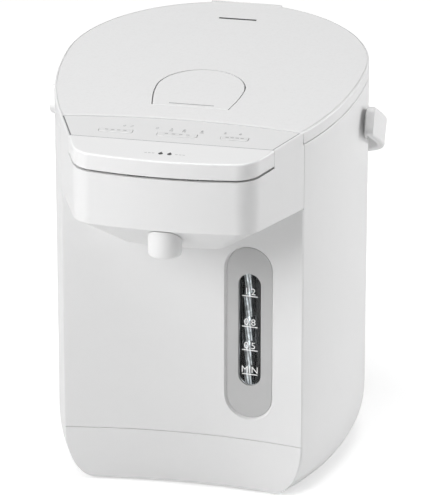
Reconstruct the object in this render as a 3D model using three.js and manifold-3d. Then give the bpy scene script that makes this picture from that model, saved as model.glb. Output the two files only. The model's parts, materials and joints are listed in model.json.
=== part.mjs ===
// Electric thermo pot: a pumped drink dispenser with a swing lid and a carrying bail.
// Millimetres, +Z up, the spout towards -Y. The origin lies on the floor, under the middle of the pot.

import * as THREE from 'three';
import { mergeVertices } from 'three/addons/utils/BufferGeometryUtils.js';
import Module from 'manifold-3d';

const wasm = await Module();
wasm.setup();

// Driving dimensions of the body. Heights count from the lower edge of the body.
const bodyWidth = 205;
const bodyHalf = bodyWidth / 2;
const frontDepth = 103.3;
const rearDepth = 98.85;
const frontRunShare = 1.608;
const wall = 2.5;
const filletWidth = 18;
const filletHeight = 36;
const topFrontHeight = 257.5;
const topSlopeDegrees = 5.035;
const lidRimHeight = 8.3;
const panelSag = 8.03;
const lidLineSag = 6.65;
const bandHeight = 35.7;
const seamDepth = 1.2;
const seamGap = 0.35;
const gap = 0.3;
const runningGap = 0.4;
const pivotGap = 0.1;
const overrun = 3;
const footDrop = 2;

// Plan of the body: widest at some way back, drawn in to the two front corners
const widestY = frontDepth;
const frontRun = frontDepth * frontRunShare;
const rearRun = rearDepth;
const rearY = widestY + rearRun;
const cornerX = bodyHalf * Math.sqrt(1 - (widestY / frontRun) ** 2);
const far = bodyWidth * 2;
const topSlope = Math.tan(THREE.MathUtils.degToRad(topSlopeDegrees));
const topAt = (y) => topFrontHeight + topSlope * y;
const below = (depth) => (y) => topAt(y) - depth;

// Head, key and panel
const headDepth = 52.9;
const headBottom = topFrontHeight - headDepth;
const headReach = 58.5;
const headTaperDegrees = 23.3;
const headTaper = THREE.MathUtils.degToRad(headTaperDegrees);
const headCornerRadius = 19;
const headFrontRadius = 300;
const keyLineY = -29.4;
const keyLipDepth = 11;
const keyShadowGap = 1.5;
const keyThickness = 2.4;
const keyWall = 2.2;
const keyRoofDepth = 20;
const roofThickness = 2;
const filmThickness = 1.6;
const filmSink = 0.5;
const filmInset = 1.5;
const panelKeyTravel = 0.6;
const panelKeyHeight = 0.3;

// Spout and chin
const spoutY = -47;
const sleeveRadius = 11;
const sleeveDrop = 19.7;
const sleeveBottom = headBottom - sleeveDrop;
const sleeveBore = 6.5;
const chinDrop = 21.6;
const chinBottom = headBottom - chinDrop;
const chinShare = 0.58;
const pipeRadius = 4;
const pipeBore = 2.75;

// Level gauge
const gaugeXShare = 0.546;
const gaugeX = cornerX * gaugeXShare;
const bezelWidth = 30.8;
const bezelLow = 51.8;
const bezelTopGap = 10.6;
const bezelHigh = chinBottom - bezelTopGap;
const bezelSink = 1.2;
const bezelThickness = 2.5;
const bezelChamfer = 1.6;
const windowWidth = 15.2;
const windowLowMargin = 22.8;
const windowHighMargin = 18.6;
const windowLow = bezelLow + windowLowMargin;
const windowHigh = bezelHigh - windowHighMargin;
const windowSink = 0.8;
const windowThickness = 1.5;
const tubeShift = 2;
const tubeX = gaugeX - tubeShift;
const tubeRadius = 4.5;
const tubeBore = 3.3;
const sealWall = 2;
const tubeRoom = 2.4;
const tubeY = panelSag + bezelSink + bezelThickness + tubeRadius + sealWall - tubeRoom / 2;
const tubeTopGap = 2;
const tubeHigh = chinBottom - tubeTopGap;

// Pump, motor, heater and frame under the vessel
const trayLow = 60;
const trayThickness = 2.5;
const trayTop = trayLow + trayThickness;
const tubeLow = trayTop + tubeRoom / 2;
const cradleHeight = 9;
const cradleWall = 3;

// Vessel, mouth and lid plug
const sideRoom = 26;
const vesselRadius = bodyHalf - sideRoom;
const vesselWall = 0.8;
const vesselFloor = trayTop + cradleHeight + vesselWall + gap;
const rimDrop = 21.5;
const vesselRim = topFrontHeight - rimDrop;
const vesselFlange = 7;
const vesselCorner = 8;
const collarDrawIn = 5;
const collarRadius = vesselRadius - collarDrawIn;
const collarWall = 2.5;
const ledgeWidth = 7.5;
const ledgeThickness = 2.5;
const deckDrop = 1;
const plugClearance = 2.7;
const gasketHeight = 2.9;
const gasketWidth = 3.6;
const steelThickness = 0.8;
const plugFloorThickness = 2;
const plugWall = 2.5;
const lidTopThickness = 2.2;
const lidWall = 2.5;
const lidFrontLeanShare = 0.085;
const lidPlateLift = 0.6;
const lidPlateThickness = 2;
const plugRadius = collarRadius - plugClearance;
const plugLow = vesselRim + gap + ledgeThickness + gap;
const steelLow = plugLow + gasketHeight + gap;
const plugFloor = steelLow + steelThickness + gap;

// Lid hinge
const hingeRearInset = 1.35;
const hingeDrop = 10.19;
const hingeY = rearY - hingeRearInset;
const hingeHeight = topAt(hingeY) - hingeDrop;
const hingePinRadius = 1.5;
const knuckleRadius = 3.4;
const lugRadius = 4.7;
const lugWidth = 49;
const bracketWidth = 23;

// Lid release and latch
const flapHalfWidth = 25.5;
const flapFrontY = 26.2;
const flapSideY = 56;
const flapBulge = 4;
const flapApexY = 86;
const flapGroove = 0.7;
const flapHingeInset = 3.3;
const flapHingeY = flapFrontY + flapHingeInset;
const flapHingeDepth = 3.7;
const flapPinRadius = 1.2;
const latchWidth = 16;
const latchThickness = 1.4;
const latchTopDepth = 5.2;
const latchTipInset = 0.75;
const latchTipY = lidLineSag + latchTipInset;
const latchBarDepth = 11.6;
const steamSlotInset = 29.65;
const steamSlotY = rearY - steamSlotInset;
const steamSlotWidth = 26;
const steamSlotGap = 2.4;

// Bail
const bailPivotY = widestY;
const bailPivotDrop = 28;
const bailPivotHeight = topFrontHeight - bailPivotDrop;
const bailSideRoom = 2.5;
const bailRearRoom = 18.15;
const bailHalfInner = bodyHalf + bailSideRoom;
const bailArm = rearRun + bailRearRoom;
const bailThickness = 5.6;
const bailBand = 19.5;
const bailFront = 18;
const bailEndRadius = 5;
const bailTiltDegrees = 26;
const bailSquareness = 3;
const bailStudRadius = 4;
const bossRadius = 9.9;
const bossStubRadius = 6;

// Pump and motor
const pumpX = 10;
const pumpSetBack = 33.2;
const pumpY = widestY - vesselRadius + pumpSetBack;
const pumpRadius = 22;
const pumpWall = 2;
const pumpHeight = 12;
const pumpHigh = trayLow - gap * 2;
const pumpLow = pumpHigh - pumpHeight;
const pumpStubRadius = 6;
const couplingRadius = 15;
const couplingThickness = 4;
const motorRadius = 17;
const motorLow = 7;
const motorTopRoom = 7.5;
const motorHigh = pumpLow - motorTopRoom;
const shaftRadius = 2;
const heaterSetBack = 8.7;
const heaterRadius = 34;
const heaterY = widestY + heaterSetBack;
const heaterThickness = 5;
const trayMargin = 7.5;
const trayRadius = vesselRadius + trayMargin;
const cradleDrawIn = 6.5;
const cradleRadius = vesselRadius - cradleDrawIn;
const legRadius = 5;
const coverThickness = 2.5;
const footRingDrawIn = 28.5;
const footRingRadius = bodyHalf - footRingDrawIn;
const footRingWidth = 10;
const footRingSetForward = 8.3;
const footRingY = widestY - footRingSetForward;
const inletHeight = 47;
const inletWidth = 30;
const inletTall = 18;
const inletDepth = 16;

const seamDepthBelowTop = lidRimHeight;

// Joining and cutting
function solid(geometry) {
  const bare = geometry.clone();
  bare.deleteAttribute('normal');
  bare.deleteAttribute('uv');
  const welded = mergeVertices(bare);
  return new wasm.Manifold(new wasm.Mesh({
    numProp: 3,
    vertProperties: new Float32Array(welded.attributes.position.array),
    triVerts: new Uint32Array(welded.index.array),
  }));
}

function geometryOf(body) {
  const mesh = body.getMesh();
  const geometry = new THREE.BufferGeometry();
  geometry.setAttribute('position', new THREE.BufferAttribute(new Float32Array(mesh.vertProperties), 3));
  geometry.setIndex(new THREE.BufferAttribute(new Uint32Array(mesh.triVerts), 1));
  geometry.computeVertexNormals();
  return geometry;
}

const join = (...bodies) => bodies.reduce((sum, body) => sum.add(body));
const cut = (body, ...tools) => tools.reduce((rest, tool) => rest.subtract(tool), body);
const common = (...bodies) => bodies.reduce((rest, body) => rest.intersect(body));

// A closed skin through rings of equally many points, each ring anticlockwise seen from +Z
function loftGeometry(rings) {
  const count = rings[0].length;
  const positions = rings.flat().flatMap((point) => [point.x, point.y, point.z]);
  const index = [];
  for (let ring = 0; ring < rings.length - 1; ring += 1) {
    for (let i = 0; i < count; i += 1) {
      const a = ring * count + i;
      const b = ring * count + (i + 1) % count;
      index.push(a, b, b + count, a, b + count, a + count);
    }
  }
  for (const [ring, upward] of [[0, false], [rings.length - 1, true]]) {
    const flat = rings[ring].map((point) => new THREE.Vector2(point.x, point.y));
    for (const face of THREE.ShapeUtils.triangulateShape(flat, [])) {
      const turnsLeft = THREE.ShapeUtils.area(face.map((corner) => flat[corner])) > 0;
      const corners = turnsLeft === upward ? face : [...face].reverse();
      index.push(...corners.map((corner) => ring * count + corner));
    }
  }
  const geometry = new THREE.BufferGeometry();
  geometry.setAttribute('position', new THREE.Float32BufferAttribute(positions, 3));
  geometry.setIndex(index);
  return geometry;
}

const loft = (rings) => solid(loftGeometry(rings));
const heightAt = (height, y) => (typeof height === 'function' ? height(y) : height);
const ringAt = (outline, height) => outline.map((p) => new THREE.Vector3(p.x, p.y, heightAt(height, p.y)));
const column = (outline, low, high) => loft([ringAt(outline, low), ringAt(outline, high)]);

// A slab whose outline lies in the upright X-Z plane, from y = near back to y = back
function upright(outline, near, back) {
  const geometry = loftGeometry([ringAt(outline, -back), ringAt(outline, -near)]);
  geometry.rotateX(Math.PI / 2);
  return solid(geometry);
}

// A slab whose outline lies in the Y-Z plane, from x = left to x = right
function sideways(outline, left, right) {
  const geometry = loftGeometry([ringAt(outline, left), ringAt(outline, right)]);
  const turn = new THREE.Matrix4().set(0, 0, 1, 0, 1, 0, 0, 0, 0, 1, 0, 0, 0, 0, 0, 1);
  geometry.applyMatrix4(turn);
  return solid(geometry);
}

function rectangle(left, right, low, high) {
  return [[left, low], [right, low], [right, high], [left, high]].map(([x, y]) => new THREE.Vector2(x, y));
}

function circle(radius, centreX = 0, centreY = 0, sides = 32) {
  return Array.from({ length: sides }, (_, i) => {
    const angle = (i / sides) * Math.PI * 2;
    return new THREE.Vector2(centreX + radius * Math.cos(angle), centreY + radius * Math.sin(angle));
  });
}

function stadium(width, low, high, centreX = 0, steps = 10) {
  const radius = width / 2;
  const points = [];
  for (const [centre, start] of [[high - radius, 0], [low + radius, Math.PI]]) {
    for (let i = 0; i <= steps; i += 1) {
      const angle = start + (i / steps) * Math.PI;
      points.push(new THREE.Vector2(centreX + radius * Math.cos(angle), centre + radius * Math.sin(angle)));
    }
  }
  return points;
}

const block = (left, right, front, back, low, high) => column(rectangle(left, right, front, back), low, high);
const pillar = (radius, x, y, low, high, sides) => column(circle(radius, x, y, sides), low, high);
const axle = (radius, y, z, left, right, sides) => sideways(circle(radius, y, z, sides), left, right);

// The same outline drawn in by a distance, or out by a negative one
function inset(outline, distance) {
  return outline.map((point, i) => {
    const before = outline[(i + outline.length - 1) % outline.length];
    const after = outline[(i + 1) % outline.length];
    const first = new THREE.Vector2(point.y - before.y, before.x - point.x).normalize();
    const second = new THREE.Vector2(after.y - point.y, point.x - after.x).normalize();
    const mitre = first.clone().add(second).multiplyScalar(distance / (1 + first.dot(second)));
    return point.clone().sub(mitre);
  });
}

// A turned piece: the profile closes on itself, in pairs of radius and height
function turned(profile, x, y, sides) {
  const points = [...profile, profile[0]].map(([radius, height]) => new THREE.Vector2(radius, height));
  const geometry = new THREE.LatheGeometry(points, sides);
  geometry.rotateX(Math.PI / 2);
  geometry.translate(x, y, 0);
  const body = solid(geometry);
  return body;
}

// A pipe or wire along a smooth curve through the given points
function pipe(points, outer, bore, steps, corners = 5) {
  const shape = new THREE.Shape();
  shape.absarc(0, 0, outer, 0, Math.PI * 2);
  if (bore > 0) {
    const hole = new THREE.Path();
    hole.absarc(0, 0, bore, 0, Math.PI * 2);
    shape.holes.push(hole);
  }
  const path = new THREE.CatmullRomCurve3(points.map(([x, y, z]) => new THREE.Vector3(x, y, z)));
  return solid(new THREE.ExtrudeGeometry(shape, { steps, curveSegments: corners, extrudePath: path }));
}

// Plan outline of the body, open-ended in front of the front face so that cuts can trim it
const frontSteps = 8;
const rearSteps = 14;
const planFrontY = -25;

function bodyOutline() {
  const right = [];
  const startAngle = Math.acos((widestY - planFrontY) / frontRun);
  for (let i = 0; i < frontSteps; i += 1) {
    const angle = startAngle + (i / frontSteps) * (Math.PI / 2 - startAngle);
    right.push(new THREE.Vector2(bodyHalf * Math.sin(angle), widestY - frontRun * Math.cos(angle)));
  }
  for (let i = 0; i < rearSteps; i += 1) {
    const angle = (i / rearSteps) * (Math.PI / 2);
    right.push(new THREE.Vector2(bodyHalf * Math.cos(angle), widestY + rearRun * Math.sin(angle)));
  }
  const rearmost = new THREE.Vector2(0, rearY);
  const left = right.map((point) => new THREE.Vector2(-point.x, point.y)).reverse();
  return [...right, rearmost, ...left];
}

const bodyPlan = bodyOutline();
const sideX = (y) => bodyHalf * Math.sqrt(1 - ((widestY - y) / (y < widestY ? frontRun : rearRun)) ** 2);
const hollowAt = (x, sag) => sag * (1 - (x / cornerX) ** 2);

// Everything in front of a hollowed face, used to trim pieces to it. A lean moves it back further down.
function inFrontOf(sag, offset, leanShare = 0) {
  const steps = 20;
  const ring = (height) => {
    const points = [new THREE.Vector2(-bodyWidth, -far), new THREE.Vector2(bodyWidth, -far)];
    for (let i = 0; i <= steps; i += 1) {
      const x = bodyHalf - (i / steps) * bodyWidth;
      points.push(new THREE.Vector2(x, hollowAt(x, sag) + offset + leanShare * (topFrontHeight - height)));
    }
    return ringAt(points, height);
  };
  return loft([ring(-bodyWidth), ring(far)]);
}

// The body's volume, drawn in by a thickness, with its rounded lower edge
function bodyVolume(thickness, high, low = thickness) {
  const steps = 6;
  const rings = [];
  for (let i = 0; i <= steps; i += 1) {
    const angle = (i / steps) * (Math.PI / 2);
    const drawnIn = filletWidth - (filletWidth - thickness) * Math.sin(angle);
    const height = filletHeight - (filletHeight - low) * Math.cos(angle);
    rings.push(ringAt(inset(bodyPlan, drawnIn), height));
  }
  rings.push(ringAt(inset(bodyPlan, thickness), high));
  return loft(rings);
}

// Materials
function paint(color, roughness, metalness = 0, opacity = 1) {
  return new THREE.MeshStandardMaterial({ color, roughness, metalness, opacity, transparent: opacity < 1 });
}
const whiteShell = paint(0xe6e6e6, 0.42);
const whiteGloss = paint(0xeaeaea, 0.3);
const greyPlate = paint(0xbcbcbc, 0.4);
const darkPlastic = paint(0x222326, 0.5);
const clearPlastic = paint(0xdfe6ea, 0.05, 0, 0.35);
const steel = paint(0xb8bbbe, 0.25, 1);
const rubber = paint(0x4a4a4c, 0.8);
const silicone = paint(0xd9dad6, 0.6);
const boardGreen = paint(0x1f5b3a, 0.6);
const copper = paint(0xb87348, 0.4, 1);
const brownBoard = paint(0x7a5b3a, 0.7);

const pot = new THREE.Group();
const design = new THREE.Group();
pot.add(design);

function put(name, body, material, parent = design) {
  const mesh = new THREE.Mesh(geometryOf(body), material);
  mesh.name = name;
  parent.add(mesh);
  return mesh;
}

// Body shell: sides and back in one wall, open in front for the panel
const seamTop = below(seamDepthBelowTop + seamGap);
const bottomOpeningInset = filletWidth + wall;
const bossStubHole = bossStubRadius + gap;
const notchHalf = lugWidth / 2 + runningGap;
const notchFloor = hingeHeight - lugRadius - runningGap * 2;
const inletCut = block(
  -inletWidth / 2 - gap, inletWidth / 2 + gap, widestY, far,
  inletHeight - inletTall / 2 - gap, inletHeight + inletTall / 2 + gap,
);
const shellBody = cut(
  bodyVolume(0, seamTop),
  bodyVolume(wall, below(-overrun)),
  inFrontOf(panelSag, seamDepth + gap),
  column(inset(bodyPlan, bottomOpeningInset), -overrun, wall + gap),
  block(-notchHalf, notchHalf, hingeY - lugRadius * 3, far, notchFloor, far),
  axle(bossStubHole, bailPivotY, bailPivotHeight, -far, far, 20),
  inletCut,
);
put('outer_shell', shellBody, whiteShell);

// Front panel and base band: one hollowed face, parted by the base seam
const panelFace = cut(inFrontOf(panelSag, wall), inFrontOf(panelSag, 0));
const panelLip = common(
  bodyVolume(0, far),
  cut(inFrontOf(panelSag, seamDepth), inFrontOf(panelSag, 0)),
);
const panelWhole = join(panelLip, common(bodyVolume(wall + gap, far, wall + gap), panelFace));
const slice = (body, low, high) => common(body, block(-far, far, -far, far, low, high));
const gaugeFace = hollowAt(gaugeX, panelSag);
const gaugeTurn = Math.atan(-2 * panelSag * gaugeX / cornerX ** 2);

function onGauge(body) {
  const geometry = geometryOf(body);
  geometry.rotateZ(gaugeTurn);
  geometry.translate(gaugeX, gaugeFace, 0);
  return solid(geometry);
}

const bezelOutline = stadium(bezelWidth, bezelLow, bezelHigh);
const flaredOpening = loftGeometry([
  ringAt(inset(bezelOutline, -gap), -wall - overrun),
  ringAt(inset(bezelOutline, -gap), -bezelSink - gap),
  ringAt(inset(bezelOutline, -gap - bezelChamfer * 2), overrun),
]);
flaredOpening.rotateX(Math.PI / 2);
const bezelOpening = onGauge(solid(flaredOpening));
const riserHoleHalf = pipeRadius + overrun;
const riserLow = headBottom - wall * 2;
const riserHigh = headBottom + headBottom / 9;
const riserHole = block(tubeX - riserHoleHalf, tubeX + riserHoleHalf, -far, widestY / 2, riserLow, riserHigh);
const panelBehindHead = common(
  column(inset(bodyPlan, wall * 1.5), headBottom - wall, below(seamDepthBelowTop + deckDrop + gap)),
  cut(inFrontOf(panelSag, wall), inFrontOf(panelSag, seamDepth + gap)),
);
const panelBody = cut(
  join(slice(panelWhole, bandHeight + seamGap, headBottom - seamGap), panelBehindHead),
  bezelOpening,
  riserHole,
);
put('front_panel', panelBody, whiteShell);
put('base_band', slice(panelWhole, 0, bandHeight), whiteShell);

// Base cover, feet and screws
const coverFlangeInset = filletWidth + gap;
const legReachShares = [[-0.708, -0.73], [0.708, -0.73], [-0.647, 0.624], [0.647, 0.624]];
const legPlaces = legReachShares.map(([shareX, shareY]) => [trayRadius * shareX, widestY + trayRadius * shareY]);
const screwRadius = 1.6;
const screwHeadRadius = 3;
const screwHeadHeight = 1.8;
const screwLength = 14;
const screwSink = 0.4;
const coverTop = wall + gap + coverThickness;
const boardWidth = 48;
const boardLength = 58;
const boardLeftShare = -0.644;
const boardSetForward = 15.3;
const boardLow = 14;
const powerBoard = {
  left: bodyHalf * boardLeftShare,
  right: bodyHalf * boardLeftShare + boardWidth,
  front: widestY - boardSetForward,
  back: widestY - boardSetForward + boardLength,
  low: boardLow,
};
const boardLegRadius = 2.5;
const boardCorners = [
  [powerBoard.left, powerBoard.front], [powerBoard.right, powerBoard.front],
  [powerBoard.left, powerBoard.back], [powerBoard.right, powerBoard.back],
];
const boardLegs = boardCorners.map(([x, y]) => pillar(
  boardLegRadius,
  x + boardLegRadius * Math.sign(powerBoard.left + powerBoard.right - 2 * x),
  y + boardLegRadius * Math.sign(powerBoard.front + powerBoard.back - 2 * y),
  coverTop - gap, powerBoard.low - gap, 10,
));
const coverBody = join(
  column(inset(bodyPlan, bottomOpeningInset + gap), 0, coverThickness),
  column(inset(bodyPlan, coverFlangeInset), wall + gap, coverTop),
  column(inset(bodyPlan, bottomOpeningInset + wall), 0, coverTop),
  ...boardLegs,
);
const screwHoles = legPlaces.map(([x, y]) => join(
  pillar(screwRadius + gap, x, y, -overrun, screwLength, 12),
  pillar(screwHeadRadius + gap, x, y, -overrun, screwSink + screwHeadHeight + gap, 12),
));
put('base_cover', cut(coverBody, inFrontOf(panelSag, wall + gap), ...screwHoles), whiteShell);

legPlaces.forEach(([x, y], i) => put(`base_screw_${i + 1}`, join(
  pillar(screwHeadRadius, x, y, screwSink, screwSink + screwHeadHeight, 12),
  pillar(screwRadius, x, y, screwSink, screwSink + screwLength, 12),
), steel));

put('foot_ring', cut(
  pillar(footRingRadius, 0, footRingY, -footDrop, -gap, 48),
  pillar(footRingRadius - footRingWidth, 0, footRingY, -far, far, 48),
), rubber);

// Frame that carries the vessel, with its legs on the base cover
const motorClear = motorRadius + runningGap;
const heaterHole = heaterRadius + overrun;
const stubHole = pumpStubRadius + gap * 2;
const cradleTop = vesselFloor - vesselWall - gap;
const cradleRing = cut(
  pillar(cradleRadius, 0, widestY, trayTop - gap, cradleTop, 36),
  pillar(cradleRadius - cradleWall, 0, widestY, 0, far, 36),
);
put('base_frame', cut(
  join(
    pillar(trayRadius, 0, widestY, trayLow, trayTop, 36),
    cradleRing,
    ...legPlaces.map(([x, y]) => pillar(legRadius, x, y, coverTop + gap, trayLow + gap, 12)),
  ),
  pillar(heaterHole, 0, heaterY, 0, cradleTop + gap, 28),
  pillar(stubHole, pumpX, pumpY, 0, trayTop + gap, 16),
  ...legPlaces.map(([x, y]) => pillar(screwRadius + gap, x, y, 0, screwSink + screwLength + gap, 12)),
), greyPlate);

// Inner vessel with its rolled rim, heater and thermostat
const vesselOuter = vesselRadius + vesselWall;
const cornerSteps = 4;
const vesselProfile = [];
for (let i = 0; i <= cornerSteps; i += 1) {
  const angle = (i / cornerSteps) * (Math.PI / 2);
  vesselProfile.push([
    vesselOuter - vesselCorner + vesselCorner * Math.sin(angle),
    vesselFloor - vesselWall + vesselCorner * (1 - Math.cos(angle)),
  ]);
}
vesselProfile.push([vesselOuter, vesselRim - vesselWall]);
vesselProfile.push([vesselOuter + vesselFlange, vesselRim - vesselWall]);
vesselProfile.push([vesselOuter + vesselFlange, vesselRim]);
vesselProfile.push([vesselRadius, vesselRim]);
for (let i = cornerSteps; i >= 0; i -= 1) {
  const angle = (i / cornerSteps) * (Math.PI / 2);
  const inner = vesselCorner - vesselWall;
  vesselProfile.push([
    vesselRadius - inner + inner * Math.sin(angle),
    vesselFloor + inner * (1 - Math.cos(angle)),
  ]);
}
const floorDisc = (low, high) => pillar(vesselOuter - vesselCorner + gap, 0, widestY, low, high, 40);
const vesselBody = cut(
  join(
    turned(vesselProfile, 0, widestY, 40),
    floorDisc(vesselFloor - vesselWall, vesselFloor),
  ),
  pillar(pumpStubRadius - wall / 2, pumpX, pumpY, 0, vesselFloor + overrun, 16),
);
const vesselSeam = vesselFloor + vesselCorner;
put('inner_vessel', slice(vesselBody, vesselSeam + pivotGap, far), steel);
put('vessel_bottom', slice(vesselBody, 0, vesselSeam - pivotGap), steel);

const heaterTop = vesselFloor - vesselWall - gap;
const thermostatRadius = 8;
const thermostatHeight = 9;
const heaterLow = heaterTop - heaterThickness;
put('heater', cut(
  pillar(heaterRadius, 0, heaterY, heaterLow, heaterTop, 32),
  pillar(thermostatRadius + gap, 0, heaterY, 0, heaterTop - heaterThickness / 2, 20),
), steel);
put('thermostat', pillar(
  thermostatRadius, 0, heaterY,
  heaterLow - thermostatHeight, heaterTop - heaterThickness / 2 - gap, 20,
), darkPlastic);

// Mouth ring: the sloping deck under the lid, with the collar that meets the vessel
const ledgeRadius = collarRadius - ledgeWidth;
const ledgeLow = vesselRim + gap;
const deckTop = below(seamDepthBelowTop + deckDrop);
const deckLow = below(seamDepthBelowTop + deckDrop + wall);
const deckRearY = hingeY - lugRadius * 3;
const mouthBody = cut(
  join(
    column(inset(bodyPlan, wall + gap), deckLow, deckTop),
    pillar(vesselOuter + vesselFlange, 0, widestY, ledgeLow, ledgeLow + ledgeThickness, 40),
    pillar(collarRadius + collarWall, 0, widestY, ledgeLow, below(seamDepthBelowTop + deckDrop + wall / 2), 40),
  ),
  pillar(collarRadius, 0, widestY, ledgeLow + ledgeThickness, far, 40),
  pillar(ledgeRadius, 0, widestY, 0, far, 40),
  inFrontOf(panelSag, wall + gap),
  block(-notchHalf, notchHalf, deckRearY, far, vesselRim, far),
);
put('mouth_ring', mouthBody, whiteShell);

// Head housing: a hood with a roof under the panel and a lower one under the key
const taperDirection = new THREE.Vector2(-Math.sin(headTaper), -Math.cos(headTaper));

function headHalf() {
  const frontY = (x) => -headReach + (x * x) / (2 * headFrontRadius);
  let corner = new THREE.Vector2(cornerX, 0);
  let slack = corner.y - frontY(corner.x);
  while (slack > gap / 10) {
    corner = corner.clone().addScaledVector(taperDirection, slack);
    slack = corner.y - frontY(corner.x);
  }
  const frontDirection = new THREE.Vector2(-1, -corner.x / headFrontRadius).normalize();
  const bend = Math.acos(taperDirection.dot(frontDirection));
  const reach = headCornerRadius * Math.tan(bend / 2);
  const start = corner.clone().addScaledVector(taperDirection, -reach);
  const centre = start.clone().add(new THREE.Vector2(taperDirection.y, -taperDirection.x)
    .multiplyScalar(headCornerRadius));
  const startAngle = Math.atan2(start.y - centre.y, start.x - centre.x);
  const points = [new THREE.Vector2(cornerX, 0)];
  const arcSteps = 8;
  for (let i = 0; i <= arcSteps; i += 1) {
    const angle = startAngle - (i / arcSteps) * bend;
    points.push(new THREE.Vector2(
      centre.x + headCornerRadius * Math.cos(angle),
      centre.y + headCornerRadius * Math.sin(angle),
    ));
  }
  const frontX = points[points.length - 1].x;
  const flatSteps = 5;
  for (let i = 1; i < flatSteps; i += 1) {
    const x = frontX * (1 - i / flatSteps);
    points.push(new THREE.Vector2(x, frontY(x)));
  }
  return points;
}

const headBackY = panelSag + wall;
const headRight = [new THREE.Vector2(sideX(headBackY), headBackY), ...headHalf()];
const headLeft = headRight.map((point) => new THREE.Vector2(-point.x, point.y)).reverse();
const headPlan = [...headLeft.reverse(), new THREE.Vector2(0, -headReach), ...headRight.reverse()];
const headTop = below(0);
const openPlan = [
  new THREE.Vector2(-sideX(headBackY), headBackY + wall * 3),
  ...headPlan,
  new THREE.Vector2(sideX(headBackY), headBackY + wall * 3),
];
const lidFootprint = cut(column(bodyPlan, below(seamDepthBelowTop + gap), far), inFrontOf(lidLineSag, -gap / 2));
const keyZone = block(-far, far, -far, keyLineY, below(keyLipDepth + keyShadowGap), far);
const filmOutlineRear = lidLineSag - filmInset / 2;
const panelRecess = common(
  cut(column(inset(headPlan, filmInset), below(filmSink + filmThickness + gap), far)),
  inFrontOf(lidLineSag, -filmInset / 2 - gap / 2),
);
const roofLow = filmSink + filmThickness + gap + roofThickness;
const upperCavity = cut(
  column(inset(openPlan, wall), headBottom - overrun, below(roofLow)),
  block(-far, far, -far, keyLineY - keyWall, -far, far),
);
const lowerCavity = column(inset(openPlan, wall), headBottom - overrun, below(keyRoofDepth + roofThickness));
const keyWell = common(
  column(inset(headPlan, wall), below(keyRoofDepth), far),
  block(-far, far, -far, keyLineY, -far, far),
);
const boardDepth = 8.5;
const boardThickness = 1.6;
const switchHeight = 3.2;
const boardHalf = 48;
const boardFront = -24;
const boardBack = -6;
const boardPostRadius = 2.2;
const keyWindowShares = { left: -0.5, centre: 0.014, right: 0.49 };
const panelKeyWidth = { left: 22, centre: 26, right: 18 };
const panelKeyY = { left: -16.5, centre: -16.5, right: -15.5 };
const panelKeyDeep = 6;
const panelKeySides = ['left', 'centre', 'right'];
const panelKeyX = (side) => keyWindowShares[side] * (cornerX - filmInset);

function panelKeyBlock(side, margin, low, high) {
  const half = panelKeyWidth[side] / 2 + margin;
  const x = panelKeyX(side);
  const y = panelKeyY[side];
  return block(x - half, x + half, y - panelKeyDeep / 2 - margin, y + panelKeyDeep / 2 + margin, low, high);
}

const stemMargin = -1.6;
const keyPinY = -33;
const keyPinDepth = 7;
const keyPinRadius = 1.5;
const keyPinHeight = topAt(keyPinY) - keyPinDepth;
const keyPostX = 52;
const keyPostHalf = 2;
const keyEarX = 46;
const earHalf = 3.2;
const keyPosts = [-1, 1].map((side) => block(
  side * keyPostX - keyPostHalf, side * keyPostX + keyPostHalf, keyPinY - earHalf, keyPinY + earHalf,
  below(keyRoofDepth + roofThickness / 2), keyPinHeight + earHalf,
));
const boardPosts = [[-1, boardFront], [1, boardFront], [-1, boardBack], [1, boardBack]].map(([side, y]) => pillar(
  boardPostRadius, side * (boardHalf - boardPostRadius), y + boardPostRadius * Math.sign(boardBack - y + boardFront / 2),
  below(boardDepth - gap), below(roofLow - gap), 10,
));
const headShell = cut(
  common(column(headPlan, headBottom, headTop), inFrontOf(panelSag, seamDepth)),
  lidFootprint,
  keyZone,
  panelRecess,
  upperCavity,
  lowerCavity,
  keyWell,
  ...panelKeySides.map((side) => panelKeyBlock(side, stemMargin / 2, below(roofLow + overrun), far)),
);
const strikeHalf = 12;
const strikeFront = -6;
const strikeBack = lidLineSag - seamGap * 2;
const strikeRib = block(
  -strikeHalf, strikeHalf, strikeFront, strikeBack,
  below(latchTopDepth - gap), below(roofLow - gap),
);
const headBody = cut(
  join(headShell, strikeRib, ...keyPosts, ...boardPosts),
  axle(keyPinRadius + pivotGap, keyPinY, keyPinHeight, -far, far, 14),
);
put('head_housing', headBody, whiteShell);

// Control panel with its keys and lamps
const lampShares = [
  [-0.44, -0.31], [-0.38, -0.31], [-0.17, -0.28], [-0.05, -0.28],
  [0.055, -0.28], [0.2, -0.28], [0.39, -0.26], [0.51, -0.26],
];
const lampRadius = 0.9;
const lampPlaces = lampShares.map(([shareX, shareY]) => [shareX * cornerX, -shareY * keyLineY]);
const guideHalf = 1.6;
const guideThickness = 0.6;
const guideY = lampPlaces[0][1];
const guideReach = lampPlaces.map(([x]) => x);
const guideBar = (margin, low, high) => block(
  Math.min(...guideReach) - guideHalf - margin, Math.max(...guideReach) + guideHalf + margin,
  guideY - guideHalf - margin, guideY + guideHalf + margin, low, high,
);
const filmTop = below(filmSink);
const filmLow = below(filmSink + filmThickness);
const panelPlate = cut(
  common(column(inset(headPlan, filmInset + gap), filmLow, filmTop), inFrontOf(lidLineSag, -filmInset / 2 - gap * 1.5)),
  block(-far, far, -far, keyLineY + gap, -far, far),
  ...panelKeySides.map((side) => panelKeyBlock(side, gap, -far, far)),
  guideBar(gap / 2, -far, below(filmSink + filmThickness - guideThickness - gap / 2)),
  ...lampPlaces.map(([x]) => pillar(lampRadius + gap / 2, x, guideY, -far, far, 8)),
);
put('control_panel', panelPlate, whiteGloss);
put('indicator_lens', join(
  guideBar(0, filmLow, below(filmSink + filmThickness - guideThickness)),
  ...lampPlaces.map(([x]) => pillar(lampRadius, x, guideY, filmLow, filmTop, 8)),
), clearPlastic);

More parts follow.
